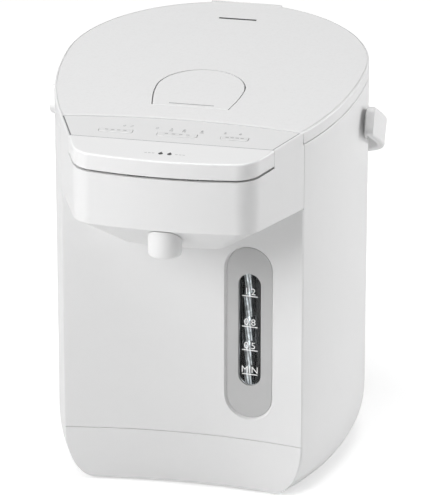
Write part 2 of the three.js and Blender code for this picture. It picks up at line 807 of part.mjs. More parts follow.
const switchTop = boardDepth - switchHeight;
for (const side of panelKeySides) {
  const capLow = below(filmSink + filmThickness - panelKeyTravel);
  const cap = panelKeyBlock(side, 0, capLow, below(filmSink - panelKeyHeight));
  const stem = panelKeyBlock(side, stemMargin, below(switchTop - panelKeyTravel - gap), below(filmSink));
  put(`panel_key_${side}`, join(cap, stem), whiteGloss);
}
const switchHalf = 3;
put('control_board', join(
  block(-boardHalf, boardHalf, boardFront, boardBack, below(boardDepth + boardThickness), below(boardDepth)),
  ...panelKeySides.map((side) => block(
    panelKeyX(side) - switchHalf, panelKeyX(side) + switchHalf,
    panelKeyY[side] - switchHalf, panelKeyY[side] + switchHalf,
    below(boardDepth + boardThickness / 2), below(switchTop),
  )),
), boardGreen);

// Dispensing key on its pin, with its spring and switch
const keyPlan = column(headPlan, below(keyLipDepth), headTop);
const keyInner = column(inset(headPlan, keyWall), below(keyLipDepth + overrun), below(keyThickness));
const keyEars = [-1, 1].map((side) => block(
  side * keyEarX - keyPostHalf, side * keyEarX + keyPostHalf, keyPinY - earHalf, keyPinY + earHalf,
  keyPinHeight - earHalf, below(keyThickness / 2),
));
const springX = 18;
const springY = -46;
const springRadius = 4;
const springWire = 1;
const plungerHalf = 1.5;
const switchBlockHigh = 12;
const keyCut = block(-far, far, keyLineY - gap, far, -far, far);
const keySwitchX = -18;
const dispenseKey = cut(
  join(
    cut(keyPlan, keyInner, keyCut),
    ...keyEars,
    block(keySwitchX - plungerHalf, keySwitchX + plungerHalf, springY - plungerHalf, springY + plungerHalf,
      below(switchBlockHigh - keyShadowGap), below(keyThickness / 2)),
  ),
  axle(
    keyPinRadius + pivotGap, keyPinY, keyPinHeight, -keyPostX - keyPostHalf - gap, keyPostX + keyPostHalf + gap, 14,
  ),
);
put('dispense_key', dispenseKey, whiteGloss);
put('key_pivot_pin', axle(
  keyPinRadius, keyPinY, keyPinHeight, -keyPostX - keyPostHalf, keyPostX + keyPostHalf, 14,
), steel);
put('key_spring', cut(
  pillar(springRadius, springX, springY, below(keyRoofDepth - gap), below(keyThickness + gap), 14),
  pillar(springRadius - springWire, springX, springY, -far, far, 14),
), steel);
const switchBlockHalf = 6;
const switchBlockDeep = 3.2;
put('dispense_switch', block(
  keySwitchX - switchBlockHalf, keySwitchX + switchBlockHalf,
  springY - switchBlockDeep, springY + switchBlockDeep,
  below(keyRoofDepth - gap), below(switchBlockHigh),
), darkPlastic);

// Chin cover: a funnel between the head's lower edge and a smaller copy of its outline
const chinTop = headBottom - gap;
const chinInset = 1.5;
const chinCollar = 4;

function chinVolume(plan, drawnIn, raise) {
  const upper = inset(plan, chinInset + drawnIn);
  const lower = upper.map((point) => new THREE.Vector2(
    point.x * chinShare,
    headBackY + (point.y - headBackY) * chinShare,
  ));
  return loft([ringAt(lower, chinBottom + raise), ringAt(upper, chinTop + raise)]);
}

const chinBody = cut(
  join(
    cut(chinVolume(headPlan, 0, 0), chinVolume(openPlan, wall, wall)),
    cut(
      column(inset(headPlan, wall + gap), chinTop - gap, chinTop + chinCollar),
      column(inset(openPlan, wall * 2 + gap), chinTop - overrun, chinTop + chinCollar + overrun),
    ),
  ),
  pillar(pipeRadius + gap, 0, spoutY, 0, far, 20),
  block(-far, far, 0, far, chinTop - gap, far),
);
put('chin_cover', common(chinBody, inFrontOf(panelSag, -gap)), whiteShell);

const sleeveRound = 2.4;
const sleeveTop = chinTop - gap;
const sleeveProfile = [
  [sleeveBore, sleeveTop], [sleeveBore, sleeveBottom], [sleeveRadius - sleeveRound, sleeveBottom],
  [sleeveRadius - sleeveRound * 0.3, sleeveBottom + sleeveRound * 0.3],
  [sleeveRadius, sleeveBottom + sleeveRound], [sleeveRadius, sleeveTop],
];
put('nozzle_sleeve', cut(turned(sleeveProfile, 0, spoutY, 28), chinVolume(headPlan, -gap, -gap)), whiteGloss);

const spoutTip = sleeveBottom + overrun;
const riserTop = headBottom + pipeRadius * 3;
const wayShare = (share, height, forwardShare = share) => [
  tubeX * (1 - share), tubeY + (spoutY - tubeY) * forwardShare, height,
];
put('spout_pipe', pipe([
  wayShare(0, tubeHigh + gap), wayShare(0, tubeHigh + pipeRadius * 3), wayShare(0, headBottom, 0.06),
  wayShare(0.04, riserTop - pipeRadius, 0.23), wayShare(0.28, riserTop, 0.52), wayShare(0.66, riserTop, 0.82),
  wayShare(0.93, riserTop - pipeRadius * 1.5, 0.97), wayShare(1, headBottom - pipeRadius), wayShare(1, spoutTip),
], pipeRadius, pipeBore, 22), silicone);

// Level gauge: plate, window, glass tube, its dark channel and its seals
const windowOutline = stadium(windowWidth, windowLow, windowHigh);
put('level_bezel', onGauge(cut(
  upright(bezelOutline, bezelSink, bezelSink + bezelThickness),
  upright(windowOutline, -overrun, far),
)), greyPlate);
put('level_window', onGauge(upright(
  inset(windowOutline, gap), bezelSink + windowSink, bezelSink + windowSink + windowThickness,
)), clearPlastic);
put('level_tube', cut(
  pillar(tubeRadius, tubeX, tubeY, tubeLow, tubeHigh, 20),
  pillar(tubeBore, tubeX, tubeY, 0, far, 20),
), clearPlastic);
const sealHeight = 7;
const seal = (low) => cut(
  pillar(tubeRadius + gap + sealWall, tubeX, tubeY, low, low + sealHeight, 18),
  pillar(tubeRadius + gap, tubeX, tubeY, 0, far, 18),
);
put('tube_seal_lower', seal(tubeLow), rubber);
put('tube_seal_upper', seal(tubeHigh - sealHeight), rubber);
const channelWall = 1.6;
const channelHalf = tubeRadius + sealWall + gap * 2 + channelWall;
const channelBack = tubeY + channelHalf;
put('level_backing', cut(
  block(tubeX - channelHalf, tubeX + channelHalf, 0, channelBack, tubeLow, tubeHigh),
  block(tubeX - channelHalf + channelWall, tubeX + channelHalf - channelWall,
    -far, channelBack - channelWall, tubeLow - overrun, tubeHigh + overrun),
  inFrontOf(panelSag, bezelSink + bezelThickness + gap * 2),
), darkPlastic);

// Pump under the vessel, with the magnet drive and the motor below it
const pumpBody = cut(
  join(
    pillar(pumpRadius, pumpX, pumpY, pumpLow, pumpHigh, 32),
    pillar(pumpStubRadius, pumpX, pumpY, pumpHigh - gap, vesselFloor - vesselWall - gap, 16),
  ),
  pillar(pumpRadius - pumpWall, pumpX, pumpY, pumpLow + pumpWall, pumpHigh - pumpWall, 32),
  pillar(pumpStubRadius - wall / 2, pumpX, pumpY, pumpHigh - pumpWall - gap, far, 16),
);
const outletHeight = (pumpLow + pumpHigh) / 2;
const outletWay = new THREE.Vector2(tubeX - pumpX, tubeY - pumpY).normalize();
const outletReach = pumpRadius + overrun;
const outletPoint = (reach) => [pumpX + outletWay.x * reach, pumpY + outletWay.y * reach, outletHeight];
const axlePost = pillar(shaftRadius * 0.8, pumpX, pumpY, pumpLow, pumpHigh - pumpWall * 2, 12);
const outletBore = pipe([
  outletPoint(pumpRadius - pumpWall * 2), outletPoint(pumpRadius), outletPoint(outletReach),
], pipeBore, 0, 2);
put('pump_housing', join(cut(pumpBody, outletBore), axlePost), greyPlate);

const impellerClearance = 1;
const impellerRadius = pumpRadius - pumpWall - impellerClearance;
const impellerBase = 2;
const bladeHeight = 3.4;
const bladeHalf = 0.8;
const bladeCount = 6;
const impellerLow = pumpLow + pumpWall + runningGap;
const impellerHub = shaftRadius * 2;
const blades = Array.from({ length: bladeCount }, (_, i) => {
  const angle = (i / bladeCount) * Math.PI * 2;
  const blade = column(
    rectangle(impellerHub - gap, impellerRadius - gap, -bladeHalf, bladeHalf),
    impellerLow + impellerBase - gap, impellerLow + impellerBase + bladeHeight,
  );
  const geometry = geometryOf(blade);
  geometry.rotateZ(angle);
  geometry.translate(pumpX, pumpY, 0);
  return solid(geometry);
});
put('pump_impeller', cut(
  join(
    pillar(impellerRadius, pumpX, pumpY, impellerLow, impellerLow + impellerBase, 28),
    pillar(impellerHub, pumpX, pumpY, impellerLow, impellerLow + impellerBase + bladeHeight, 16),
    ...blades,
  ),
  pillar(shaftRadius * 0.8 + pivotGap, pumpX, pumpY, 0, far, 12),
), greyPlate);

const couplingHigh = pumpLow - runningGap;
const couplingLow = couplingHigh - couplingThickness;
const shaftLow = motorLow + motorRadius;
put('motor_rotor', join(
  pillar(couplingRadius, pumpX, pumpY, couplingLow, couplingHigh, 28),
  pillar(shaftRadius, pumpX, pumpY, shaftLow, couplingLow + gap, 12),
), steel);
put('motor_can', cut(
  pillar(motorRadius, pumpX, pumpY, motorLow, motorHigh, 28),
  pillar(shaftRadius + pivotGap, pumpX, pumpY, shaftLow - gap, far, 12),
), steel);

// Brackets that hang the motor from the frame, one each side of the pump
const bracketThickness = 3;
const bracketReach = pumpRadius + runningGap;
const bracketHalf = 8;
const ringLow = motorHigh - bracketThickness * 2;
const ringHigh = motorHigh - bracketThickness;
const motorBracket = cut(
  join(
    pillar(bracketReach + bracketThickness / 2, pumpX, pumpY, ringLow, ringHigh, 28),
    cut(
      block(pumpX - bracketReach - bracketThickness, pumpX + bracketReach + bracketThickness,
        pumpY - bracketHalf, pumpY + bracketHalf, ringLow, trayLow - gap),
      block(pumpX - bracketReach, pumpX + bracketReach, -far, far, ringHigh - gap, far),
    ),
  ),
  pillar(motorRadius + gap, pumpX, pumpY, 0, far, 28),
);
put('motor_bracket', motorBracket, steel);

// Delivery pipe from the pump to the foot of the glass tube
const bendPoint = (reachShare, riseShare) => [
  tubeX - outletWay.x * pipeRadius * reachShare,
  tubeY - outletWay.y * pipeRadius * reachShare,
  outletHeight + pipeRadius * riseShare,
];
put('delivery_pipe', pipe([
  outletPoint(pumpRadius + gap), outletPoint(outletReach + overrun),
  bendPoint(2.25, -0.25), bendPoint(0.75, 0.125),
  [tubeX, tubeY, tubeLow - overrun], [tubeX, tubeY, tubeLow - gap],
], pipeRadius, pipeBore, 18), silicone);

// Boards, inlet and wiring
const transformer = { half: 10, high: 16 };
const capacitor = { radius: 6, high: 18 };
put('power_board', join(
  block(powerBoard.left, powerBoard.right, powerBoard.front, powerBoard.back,
    powerBoard.low, powerBoard.low + boardThickness),
  block(powerBoard.left + transformer.half / 2, powerBoard.left + transformer.half * 2.5,
    powerBoard.front + transformer.half, powerBoard.front + transformer.half * 3,
    powerBoard.low + boardThickness - gap, powerBoard.low + transformer.high),
  pillar(capacitor.radius, powerBoard.right - capacitor.radius * 2, powerBoard.front + capacitor.radius * 2,
    powerBoard.low + boardThickness - gap, powerBoard.low + capacitor.high, 16),
), brownBoard);
const inletFace = rearY;
const inletFloor = inletFace - inletDepth;
const inletWall = 2;
const pinRadius = 1.8;
const pinSpacing = 11;
const pinLength = 8;
const flangeGrow = 2.5;
const socketOuter = rectangle(-inletWidth / 2, inletWidth / 2, inletHeight - inletTall / 2, inletHeight + inletTall / 2);
const socketRear = inletFloor - inletWall;
const pinHoles = [-1, 1].map((side) => upright(
  circle(pinRadius + gap, side * pinSpacing / 2, inletHeight, 12), socketRear - overrun, far,
));
const socketBody = cut(
  join(
    upright(socketOuter, socketRear, inletFace - gap * 2),
    upright(inset(socketOuter, -flangeGrow), inletFace - wall * 2 - gap * 2, inletFace - wall * 2 + gap),
  ),
  upright(inset(socketOuter, inletWall), inletFloor, far),
  ...pinHoles,
);
put('inlet_socket', socketBody, darkPlastic);
for (const [name, side] of [['left', -1], ['right', 1]]) {
  put(`inlet_pin_${name}`, upright(
    circle(pinRadius, side * pinSpacing / 2, inletHeight, 12), socketRear - overrun, inletFloor + pinLength,
  ), steel);
}

const cableRadius = 2.2;
const cableStart = socketRear - overrun - cableRadius / 2;
const cableEnd = {
  x: (powerBoard.left + powerBoard.right * 3) / 4,
  y: powerBoard.back - cableRadius * 7,
  z: powerBoard.low + boardThickness + cableRadius + gap,
};
const cableWay = (alongShares, downShares) => alongShares.map((share, i) => [
  pinSpacing / 2 + (cableEnd.x - pinSpacing / 2) * share,
  cableStart - cableRadius * 2 + (cableEnd.y - cableStart + cableRadius * 2) * share,
  inletHeight + (cableEnd.z - inletHeight) * downShares[i],
]);
put('wiring', join(
  pipe([
    [pinSpacing / 2, cableStart, inletHeight], [pinSpacing / 2, cableStart - cableRadius * 2, inletHeight],
    ...cableWay([0.08, 0.3, 0.62, 0.86, 1], [0.3, 0.42, 0.8, 0.99, 1]),
  ], cableRadius, 0, 16, 4),
), rubber);

// Bosses for the bail on both sides of the shell
const bossFace = bailHalfInner - runningGap - gap;
const studTip = bodyHalf - wall * 2;
const stubInner = bodyHalf - wall * 3;
for (const [name, side] of [['right', 1], ['left', -1]]) {
  const across = (inner, outer) => (side > 0 ? [inner, outer] : [-outer, -inner]);
  const boss = cut(
    join(
      axle(bossRadius, bailPivotY, bailPivotHeight, ...across(bodyHalf + gap, bossFace), 28),
      axle(bossStubRadius, bailPivotY, bailPivotHeight, ...across(stubInner, bossFace - gap), 20),
    ),
    axle(bailStudRadius + pivotGap, bailPivotY, bailPivotHeight, ...across(studTip - gap, bossFace + overrun), 20),
  );
  put(`handle_boss_${name}`, boss, whiteShell);
}

// Carrying bail, stored tilted down behind the pot
const bail = new THREE.Group();
bail.position.set(0, bailPivotY, bailPivotHeight);
bail.rotation.x = -THREE.MathUtils.degToRad(bailTiltDegrees);
design.add(bail);

function bailCurve(halfWidth, arm) {
  const steps = 40;
  const power = 2 / bailSquareness;
  return Array.from({ length: steps + 1 }, (_, i) => {
    const angle = (i / steps) * Math.PI;
    const across = Math.sign(Math.cos(angle)) * Math.abs(Math.cos(angle)) ** power;
    return new THREE.Vector2(halfWidth * across, arm * Math.abs(Math.sin(angle)) ** power);
  });
}

const bailOuterHalf = bailHalfInner + bailThickness;
const bailPlan = [
  new THREE.Vector2(bailOuterHalf, -bailFront),
  ...bailCurve(bailOuterHalf, bailArm + bailThickness),
  new THREE.Vector2(-bailOuterHalf, -bailFront),
  new THREE.Vector2(-bailHalfInner, -bailFront),
  ...bailCurve(bailHalfInner, bailArm).reverse(),
  new THREE.Vector2(bailHalfInner, -bailFront),
];
function bailCorner(height, startShare) {
  const steps = 6;
  return Array.from({ length: steps + 1 }, (_, i) => {
    const angle = (startShare + i / steps) * (Math.PI / 2);
    return new THREE.Vector2(
      bailEndRadius - bailFront + bailEndRadius * Math.cos(angle), height + bailEndRadius * Math.sin(angle));
  });
}

const bailSide = [
  new THREE.Vector2(bailArm + bailBand, -bailBand / 2),
  new THREE.Vector2(bailArm + bailBand, bailBand / 2),
  ...bailCorner(bailBand / 2 - bailEndRadius, 1),
  ...bailCorner(bailEndRadius - bailBand / 2, 2),
];
const bailBody = join(
  common(
    column(bailPlan, -bailBand / 2, bailBand / 2),
    sideways(bailSide, -far, far),
  ),
  ...[-1, 1].map((side) => axle(
    bailStudRadius, 0, 0,
    side > 0 ? studTip : -bailHalfInner - gap, side > 0 ? bailHalfInner + gap : -studTip, 20,
  )),
);
put('carry_handle', bailBody, whiteShell, bail);

// Lid cover: a flat skin with a rim, the flap opening, the steam slot and the hinge lug
const lidLow = below(seamDepthBelowTop);
const lidTopLow = below(lidTopThickness);

function flapOutline(grow) {
  const points = [
    new THREE.Vector2(-flapHalfWidth - grow, flapFrontY - grow),
    new THREE.Vector2(flapHalfWidth + grow, flapFrontY - grow),
  ];
  const sideSteps = 4;
  for (let i = 1; i < sideSteps; i += 1) {
    const share = i / sideSteps;
    const y = flapFrontY + (flapSideY - flapFrontY) * share;
    points.push(new THREE.Vector2(flapHalfWidth + grow + flapBulge * Math.sin(share * Math.PI / 2), y));
  }
  const domeSteps = 16;
  for (let i = 0; i <= domeSteps; i += 1) {
    const angle = (i / domeSteps) * Math.PI;
    points.push(new THREE.Vector2(
      (flapHalfWidth + flapBulge + grow) * Math.cos(angle),
      flapSideY + (flapApexY - flapSideY + grow) * Math.sin(angle),
    ));
  }
  for (let i = sideSteps - 1; i > 0; i -= 1) {
    const share = i / sideSteps;
    const y = flapFrontY + (flapSideY - flapFrontY) * share;
    points.push(new THREE.Vector2(-flapHalfWidth - grow - flapBulge * Math.sin(share * Math.PI / 2), y));
  }
  return points;
}

const lugHalf = lugWidth / 2;
const lugTop = topAt(hingeY);
const lugOutline = [
  ...circle(lugRadius, hingeY, hingeHeight, 24).filter((point) => point.y <= hingeHeight + gap),
  new THREE.Vector2(hingeY + lugRadius, lugTop - lugRadius / 2),
  new THREE.Vector2(hingeY + lugRadius * 0.6, lugTop),
  new THREE.Vector2(hingeY - lugRadius, lugTop - lugRadius * topSlope),
];
lugOutline.sort((p, q) => (
  Math.atan2(p.y - hingeHeight - gap * 2, p.x - hingeY) - Math.atan2(q.y - hingeHeight - gap * 2, q.x - hingeY)));
const lug = sideways(lugOutline, -lugHalf, lugHalf);
const knuckleRoom = join(
  axle(knuckleRadius + runningGap, hingeY, hingeHeight, -bracketWidth / 2 - runningGap, bracketWidth / 2 + runningGap, 24),
  block(-bracketWidth / 2 - runningGap, bracketWidth / 2 + runningGap,
    hingeY - lugRadius * 2, hingeY, -far, hingeHeight + knuckleRadius + runningGap),
  block(-bracketWidth / 2 - runningGap, bracketWidth / 2 + runningGap,
    hingeY - gap, hingeY + lugRadius * 2, -far, hingeHeight),
);
const flapPinHeight = topAt(flapHingeY) - flapHingeDepth;
const flapLugX = 28;
const flapEarX = 20;
const flapEarHalf = 1.4;
const flapEarDeep = 2;
const flapPinHole = axle(flapPinRadius + pivotGap, flapHingeY, flapPinHeight, -far, far, 12);
const flapEars = (x) => [-1, 1].map((side) => block(
  side * x - flapEarHalf, side * x + flapEarHalf, flapHingeY - flapEarDeep, flapHingeY + flapEarDeep,
  below(flapHingeDepth + flapPinRadius + runningGap), below(lidTopThickness / 2),
));
const latchSlotHalf = latchWidth / 2 + runningGap;
const lidShell = cut(
  column(bodyPlan, lidLow, headTop),
  column(inset(bodyPlan, lidWall), below(far), lidTopLow).intersect(
    cut(block(-far, far, -far, far, -far, far), inFrontOf(lidLineSag, gap / 2 + lidWall)),
  ),
  inFrontOf(lidLineSag, gap / 2, lidFrontLeanShare),
);
const steamSlot = block(
  -steamSlotWidth / 2, steamSlotWidth / 2, steamSlotY - steamSlotGap / 2, steamSlotY + steamSlotGap / 2,
  below(lidTopThickness + overrun), far,
);
const lidBody = cut(
  join(lidShell, lug, ...flapEars(flapLugX)),
  knuckleRoom,
  column(flapOutline(flapGroove / 2), below(lidTopThickness + gap), far),
  steamSlot,
  axle(hingePinRadius + pivotGap, hingeY, hingeHeight, -far, far, 16),
  flapPinHole,
  block(-latchSlotHalf, latchSlotHalf, -far, widestY / 4,
    below(latchTopDepth + latchThickness + runningGap), below(latchTopDepth - runningGap)),
);
put('lid_cover', lidBody, whiteShell);
put('lid_hinge_pin', axle(hingePinRadius, hingeY, hingeHeight, -lugHalf + gap, lugHalf - gap, 16), steel);

// Hinge bracket on the deck, with the knuckle between the lid's lugs
const bracketHalfWidth = bracketWidth / 2;
const bracketFoot = 12;
const bracketLow = notchFloor - knuckleRadius * 2;
const bracketBack = rearY - wall - gap * 3;
const bracketOutline = [
  [deckRearY + gap, bracketLow], [bracketBack, bracketLow], [bracketBack, notchFloor],
  [hingeY - knuckleRadius * 0.2, hingeHeight - knuckleRadius * 0.9],
  [hingeY - knuckleRadius * 0.9, hingeHeight], [deckRearY + gap, notchFloor],
].map(([y, z]) => new THREE.Vector2(y, z));
const bracketFlange = common(
  block(-bracketHalfWidth, bracketHalfWidth, deckRearY - bracketFoot, deckRearY + gap * 2,
    below(seamDepthBelowTop + deckDrop + wall * 2 + gap), below(seamDepthBelowTop + deckDrop + wall + gap)),
  cut(block(-far, far, -far, far, 0, far), pillar(collarRadius + collarWall + gap, 0, widestY, 0, far, 40)),
);
put('hinge_bracket', cut(
  join(
    sideways(bracketOutline, -bracketHalfWidth, bracketHalfWidth),
    axle(knuckleRadius, hingeY, hingeHeight, -bracketHalfWidth, bracketHalfWidth, 24),
    bracketFlange,
  ),
  axle(hingePinRadius + pivotGap, hingeY, hingeHeight, -far, far, 16),
), steel);

// Lid base: the plug's tub and the plate that closes the lid from below
const lidBaseLow = below(seamDepthBelowTop - lidPlateLift);
const lidBaseTop = below(seamDepthBelowTop - lidPlateLift - lidPlateThickness);
const ductHalf = steamSlotWidth / 2 + plugWall;
const ductSetForward = 16.5;
const ductDeep = 9;
const ductFront = steamSlotY - ductSetForward;
const ductBack = ductFront + ductDeep;
const ductWall = 1.4;
const lidBaseBody = cut(
  join(
    cut(column(inset(bodyPlan, lidWall + gap), lidBaseLow, lidBaseTop), inFrontOf(lidLineSag, gap / 2 + lidWall + gap)),
    pillar(plugRadius, 0, widestY, plugFloor, lidBaseTop, 40),
  ),
  pillar(plugRadius - plugWall, 0, widestY, plugFloor + plugFloorThickness, far, 40),
  block(-ductHalf + ductWall, ductHalf - ductWall, ductFront + ductWall, ductBack - ductWall, 0, far),
  block(-latchSlotHalf, latchSlotHalf, -far, widestY / 2, below(latchTopDepth + latchThickness + runningGap), far),
  block(-lugHalf - runningGap, lugHalf + runningGap, deckRearY, far, 0, far),
);
put('lid_base', lidBaseBody, whiteShell);

put('lid_gasket', cut(
  pillar(plugRadius - gap, 0, widestY, plugLow, plugLow + gasketHeight, 40),
  pillar(plugRadius - gap - gasketWidth, 0, widestY, 0, far, 40),
), silicone);
const ventRadius = 3;
const ventSpacing = 8;
put('lid_steel_plate', cut(
  pillar(plugRadius - gap, 0, widestY, steelLow, steelLow + steelThickness, 40),
  ...[-1, 0, 1].map((place) => pillar(
    ventRadius, place * ventSpacing, (ductFront + ductBack) / 2, 0, far, 12,
  )),
), steel);

// Steam duct from the plug up to the slot
const ductLow = plugFloor + plugFloorThickness + gap;
const ductTopDepth = lidTopThickness + gap;
const ductRearY = steamSlotY + steamSlotGap / 2 + ductWall;
const ductMouth = seamDepthBelowTop - lidPlateLift - lidPlateThickness - gap;
const steamDuct = cut(
  join(
    block(-ductHalf, ductHalf, ductFront, ductBack, ductLow, below(ductTopDepth)),
    block(-ductHalf, ductHalf, ductFront, ductRearY, below(ductMouth), below(ductTopDepth)),
  ),
  block(-ductHalf + ductWall, ductHalf - ductWall, ductFront + ductWall, ductBack - ductWall,
    0, below(ductTopDepth + ductWall / 2)),
  block(-ductHalf + ductWall, ductHalf - ductWall, ductFront + ductWall, ductRearY - ductWall,
    below(ductMouth - ductWall / 2), below(ductTopDepth + ductWall / 2)),
  steamSlot,
);
put('steam_duct', steamDuct, greyPlate);

// Release flap with its finger, pin and spring
const fingerHalf = 5;
const fingerFront = 69.5;
const fingerBack = 74;
const fingerRamp = 4;
const fingerDepth = 11;
const onTop = ([y, depth]) => new THREE.Vector2(y, topAt(y) - depth);
const finger = sideways([
  [fingerFront, fingerDepth], [fingerBack - fingerRamp, fingerDepth], [fingerBack, fingerDepth - fingerRamp],
  [fingerBack, lidTopThickness / 2], [fingerFront, lidTopThickness / 2],
].map(onTop), -fingerHalf, fingerHalf);
const flapBody = cut(
  join(
    column(flapOutline(-flapGroove / 2), lidTopLow, headTop),
    ...flapEars(flapEarX),
    finger,
  ),
  flapPinHole,
);
put('lid_release', flapBody, whiteShell);
put('release_pin', axle(
  flapPinRadius, flapHingeY, flapPinHeight, -flapLugX - flapEarHalf, flapLugX + flapEarHalf, 12,
), steel);
const releaseSpringX = 16;
const releaseSpringY = 62;
put('release_spring', cut(
  pillar(springRadius, releaseSpringX, releaseSpringY, plugFloor + plugFloorThickness + gap,
    below(lidTopThickness + gap), 14),
  pillar(springRadius - springWire, releaseSpringX, releaseSpringY, 0, far, 14),
), steel);

// Latch slider: tongue at the front, ramp under the flap's finger
const latchHalf = latchWidth / 2;
const latchWebY = 39;
const latchWeb = 2;
const rampGap = 0.35;
const rampBackY = fingerBack + fingerRamp;
const latchBack = rampBackY;
const latchOutline = [
  [latchTipY, latchTopDepth + latchThickness], [latchWebY, latchTopDepth + latchThickness],
  [latchWebY, latchBarDepth + latchThickness], [latchBack, latchBarDepth + latchThickness],
  [latchBack, fingerDepth - fingerRamp + rampGap], [fingerBack + rampGap, fingerDepth - fingerRamp + rampGap],
  [fingerBack - fingerRamp + rampGap, fingerDepth + rampGap],
  [fingerBack - fingerRamp + rampGap, latchBarDepth],
  [latchWebY + latchWeb, latchBarDepth], [latchWebY + latchWeb, latchTopDepth],
  [latchTipY, latchTopDepth],
].map(onTop);
const fingerWell = block(
  -fingerHalf - runningGap, fingerHalf + runningGap,
  latchWebY + latchWeb * 2, fingerBack - fingerRamp + rampGap, -far, far,
);
put('latch_slider', cut(sideways(latchOutline, -latchHalf, latchHalf), fingerWell), greyPlate);

// The origin under the middle of the outline, on the floor
const tilt = THREE.MathUtils.degToRad(bailTiltDegrees);
const bailRear = bailPivotY + (bailArm + bailThickness) * Math.cos(tilt) + (bailBand / 2) * Math.sin(tilt);
design.position.set(0, -(bailRear - headReach) / 2, footDrop);

export default pot;
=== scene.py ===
"""Electric thermo pot, dressed over its solids.

Sizes are in millimetres: X to the right, Y to the rear from the two front corners of the body, Z up
from the lower edge of the body. place() turns them into the frame's metres.
"""

import json
import math

import bmesh
import bpy
from mathutils import Matrix, Vector

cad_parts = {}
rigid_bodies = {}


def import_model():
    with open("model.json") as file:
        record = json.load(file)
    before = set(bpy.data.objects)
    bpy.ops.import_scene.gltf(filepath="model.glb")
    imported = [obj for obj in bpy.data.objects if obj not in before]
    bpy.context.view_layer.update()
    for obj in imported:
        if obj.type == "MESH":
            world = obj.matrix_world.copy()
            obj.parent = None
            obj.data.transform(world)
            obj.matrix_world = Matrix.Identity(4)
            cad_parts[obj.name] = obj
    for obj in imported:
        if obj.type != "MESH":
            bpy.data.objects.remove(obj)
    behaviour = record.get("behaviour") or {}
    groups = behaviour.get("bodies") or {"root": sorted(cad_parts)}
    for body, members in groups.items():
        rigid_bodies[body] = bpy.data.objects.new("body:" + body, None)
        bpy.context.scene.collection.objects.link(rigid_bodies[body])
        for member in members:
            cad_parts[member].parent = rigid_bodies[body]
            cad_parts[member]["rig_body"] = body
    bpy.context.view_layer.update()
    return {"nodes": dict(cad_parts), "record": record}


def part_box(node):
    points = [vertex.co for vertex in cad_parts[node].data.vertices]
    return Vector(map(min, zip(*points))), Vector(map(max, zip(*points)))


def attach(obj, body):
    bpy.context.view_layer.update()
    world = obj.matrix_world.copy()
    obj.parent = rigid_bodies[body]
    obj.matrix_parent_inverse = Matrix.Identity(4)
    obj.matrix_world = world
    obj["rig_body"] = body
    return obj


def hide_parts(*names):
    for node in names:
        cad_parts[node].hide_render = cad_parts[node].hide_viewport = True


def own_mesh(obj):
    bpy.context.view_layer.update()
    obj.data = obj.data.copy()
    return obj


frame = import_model()

MM = 0.001

# Body
BODY_HALF = 102.5
WIDEST_Y = 103.3
FRONT_RUN = WIDEST_Y * 1.608
REAR_RUN = 98.85
REAR_Y = WIDEST_Y + REAR_RUN
CORNER_X = BODY_HALF * math.sqrt(1 - (WIDEST_Y / FRONT_RUN) ** 2)
WALL = 2.5
FILLET_WIDTH = 18
FILLET_HEIGHT = 36
SHELL_EDGE = 0.8
TOP_FRONT = 257.5
TOP_SLOPE = math.tan(math.radians(5.035))
RIM_HEIGHT = 8.3
PANEL_SAG = 8.03
LID_SAG = 6.65
LID_LEAN = 0.085
BAND_HEIGHT = 35.7
SEAM_DEPTH = 1.2
SEAM_GAP = 0.35
GAP = 0.3
RUNNING_GAP = 0.4
PIVOT_GAP = 0.1
OVERRUN = 3
FAR = 400
FOOT_DROP = 2

# Head, key and control panel
HEAD_BOTTOM = TOP_FRONT - 52.9
HEAD_REACH = 58.5
HEAD_TAPER = math.radians(23.3)
HEAD_CORNER = 19
HEAD_FRONT_RADIUS = 300
HEAD_EDGE = 0.7
HOOD_OPEN_Y = WIDEST_Y / 5
KEY_LINE_Y = -29.4
KEY_LIP = 11
KEY_SHADOW_GAP = 1.5
KEY_THICKNESS = 2.4
KEY_WALL = 2.2
KEY_EDGE = 1.3
KEY_ROOF_DEPTH = 20
ROOF_THICKNESS = 2
FILM_THICKNESS = 1.6
FILM_SINK = 0.5
FILM_INSET = 1.5
FILM_RIM = 0.9
FILM_REAR_GAP = FILM_INSET / 2 + GAP / 2
KEY_PIN_Y = -33
KEY_PIN_DEPTH = 7
KEY_PIN_RADIUS = 1.5
KEY_EAR_X = 46
KEY_EAR_HALF = 2
KEY_EAR_REACH = 3.2
PANEL_KEYS = {
    "left": {"x_share": -0.5, "y": -16.5, "width": 22},
    "centre": {"x_share": 0.014, "y": -16.5, "width": 26},
    "right": {"x_share": 0.49, "y": -15.5, "width": 18},
}
PANEL_KEY_DEEP = 6
PANEL_KEY_RAISE = 0.3
PANEL_KEY_TRAVEL = 0.6
PANEL_KEY_CORNER = 1.6
PANEL_STEM_MARGIN = -1.6
PANEL_STEM_CORNER = 0.6
SWITCH_TOP_DEPTH = 5.3
FINE_EDGE = 0.3

# Spout and chin
SPOUT_Y = -47
SLEEVE_RADIUS = 11
SLEEVE_DROP = 19.7
SLEEVE_BORE = 6.5
SLEEVE_ROUND = 2.4
SLEEVE_CHAMFER = 0.8
PIPE_HOLE_RADIUS = 4.3
CHIN_DROP = 21.6
CHIN_SHARE = 0.58
CHIN_INSET = 1.5
CHIN_BOTTOM = HEAD_BOTTOM - CHIN_DROP

# Level gauge
GAUGE_X = CORNER_X * 0.546
BEZEL_WIDTH = 30.8
BEZEL_LOW = 51.8
BEZEL_HIGH = CHIN_BOTTOM - 10.6
BEZEL_SINK = 1.2
BEZEL_THICKNESS = 2.5
BEZEL_CHAMFER = 1.6
WINDOW_WIDTH = 15.2
WINDOW_LOW = BEZEL_LOW + 22.8
WINDOW_HIGH = BEZEL_HIGH - 18.6
WINDOW_SINK = 0.8
WINDOW_THICKNESS = 1.5
TUBE_RADIUS = 4.5
TUBE_BORE = 3.3

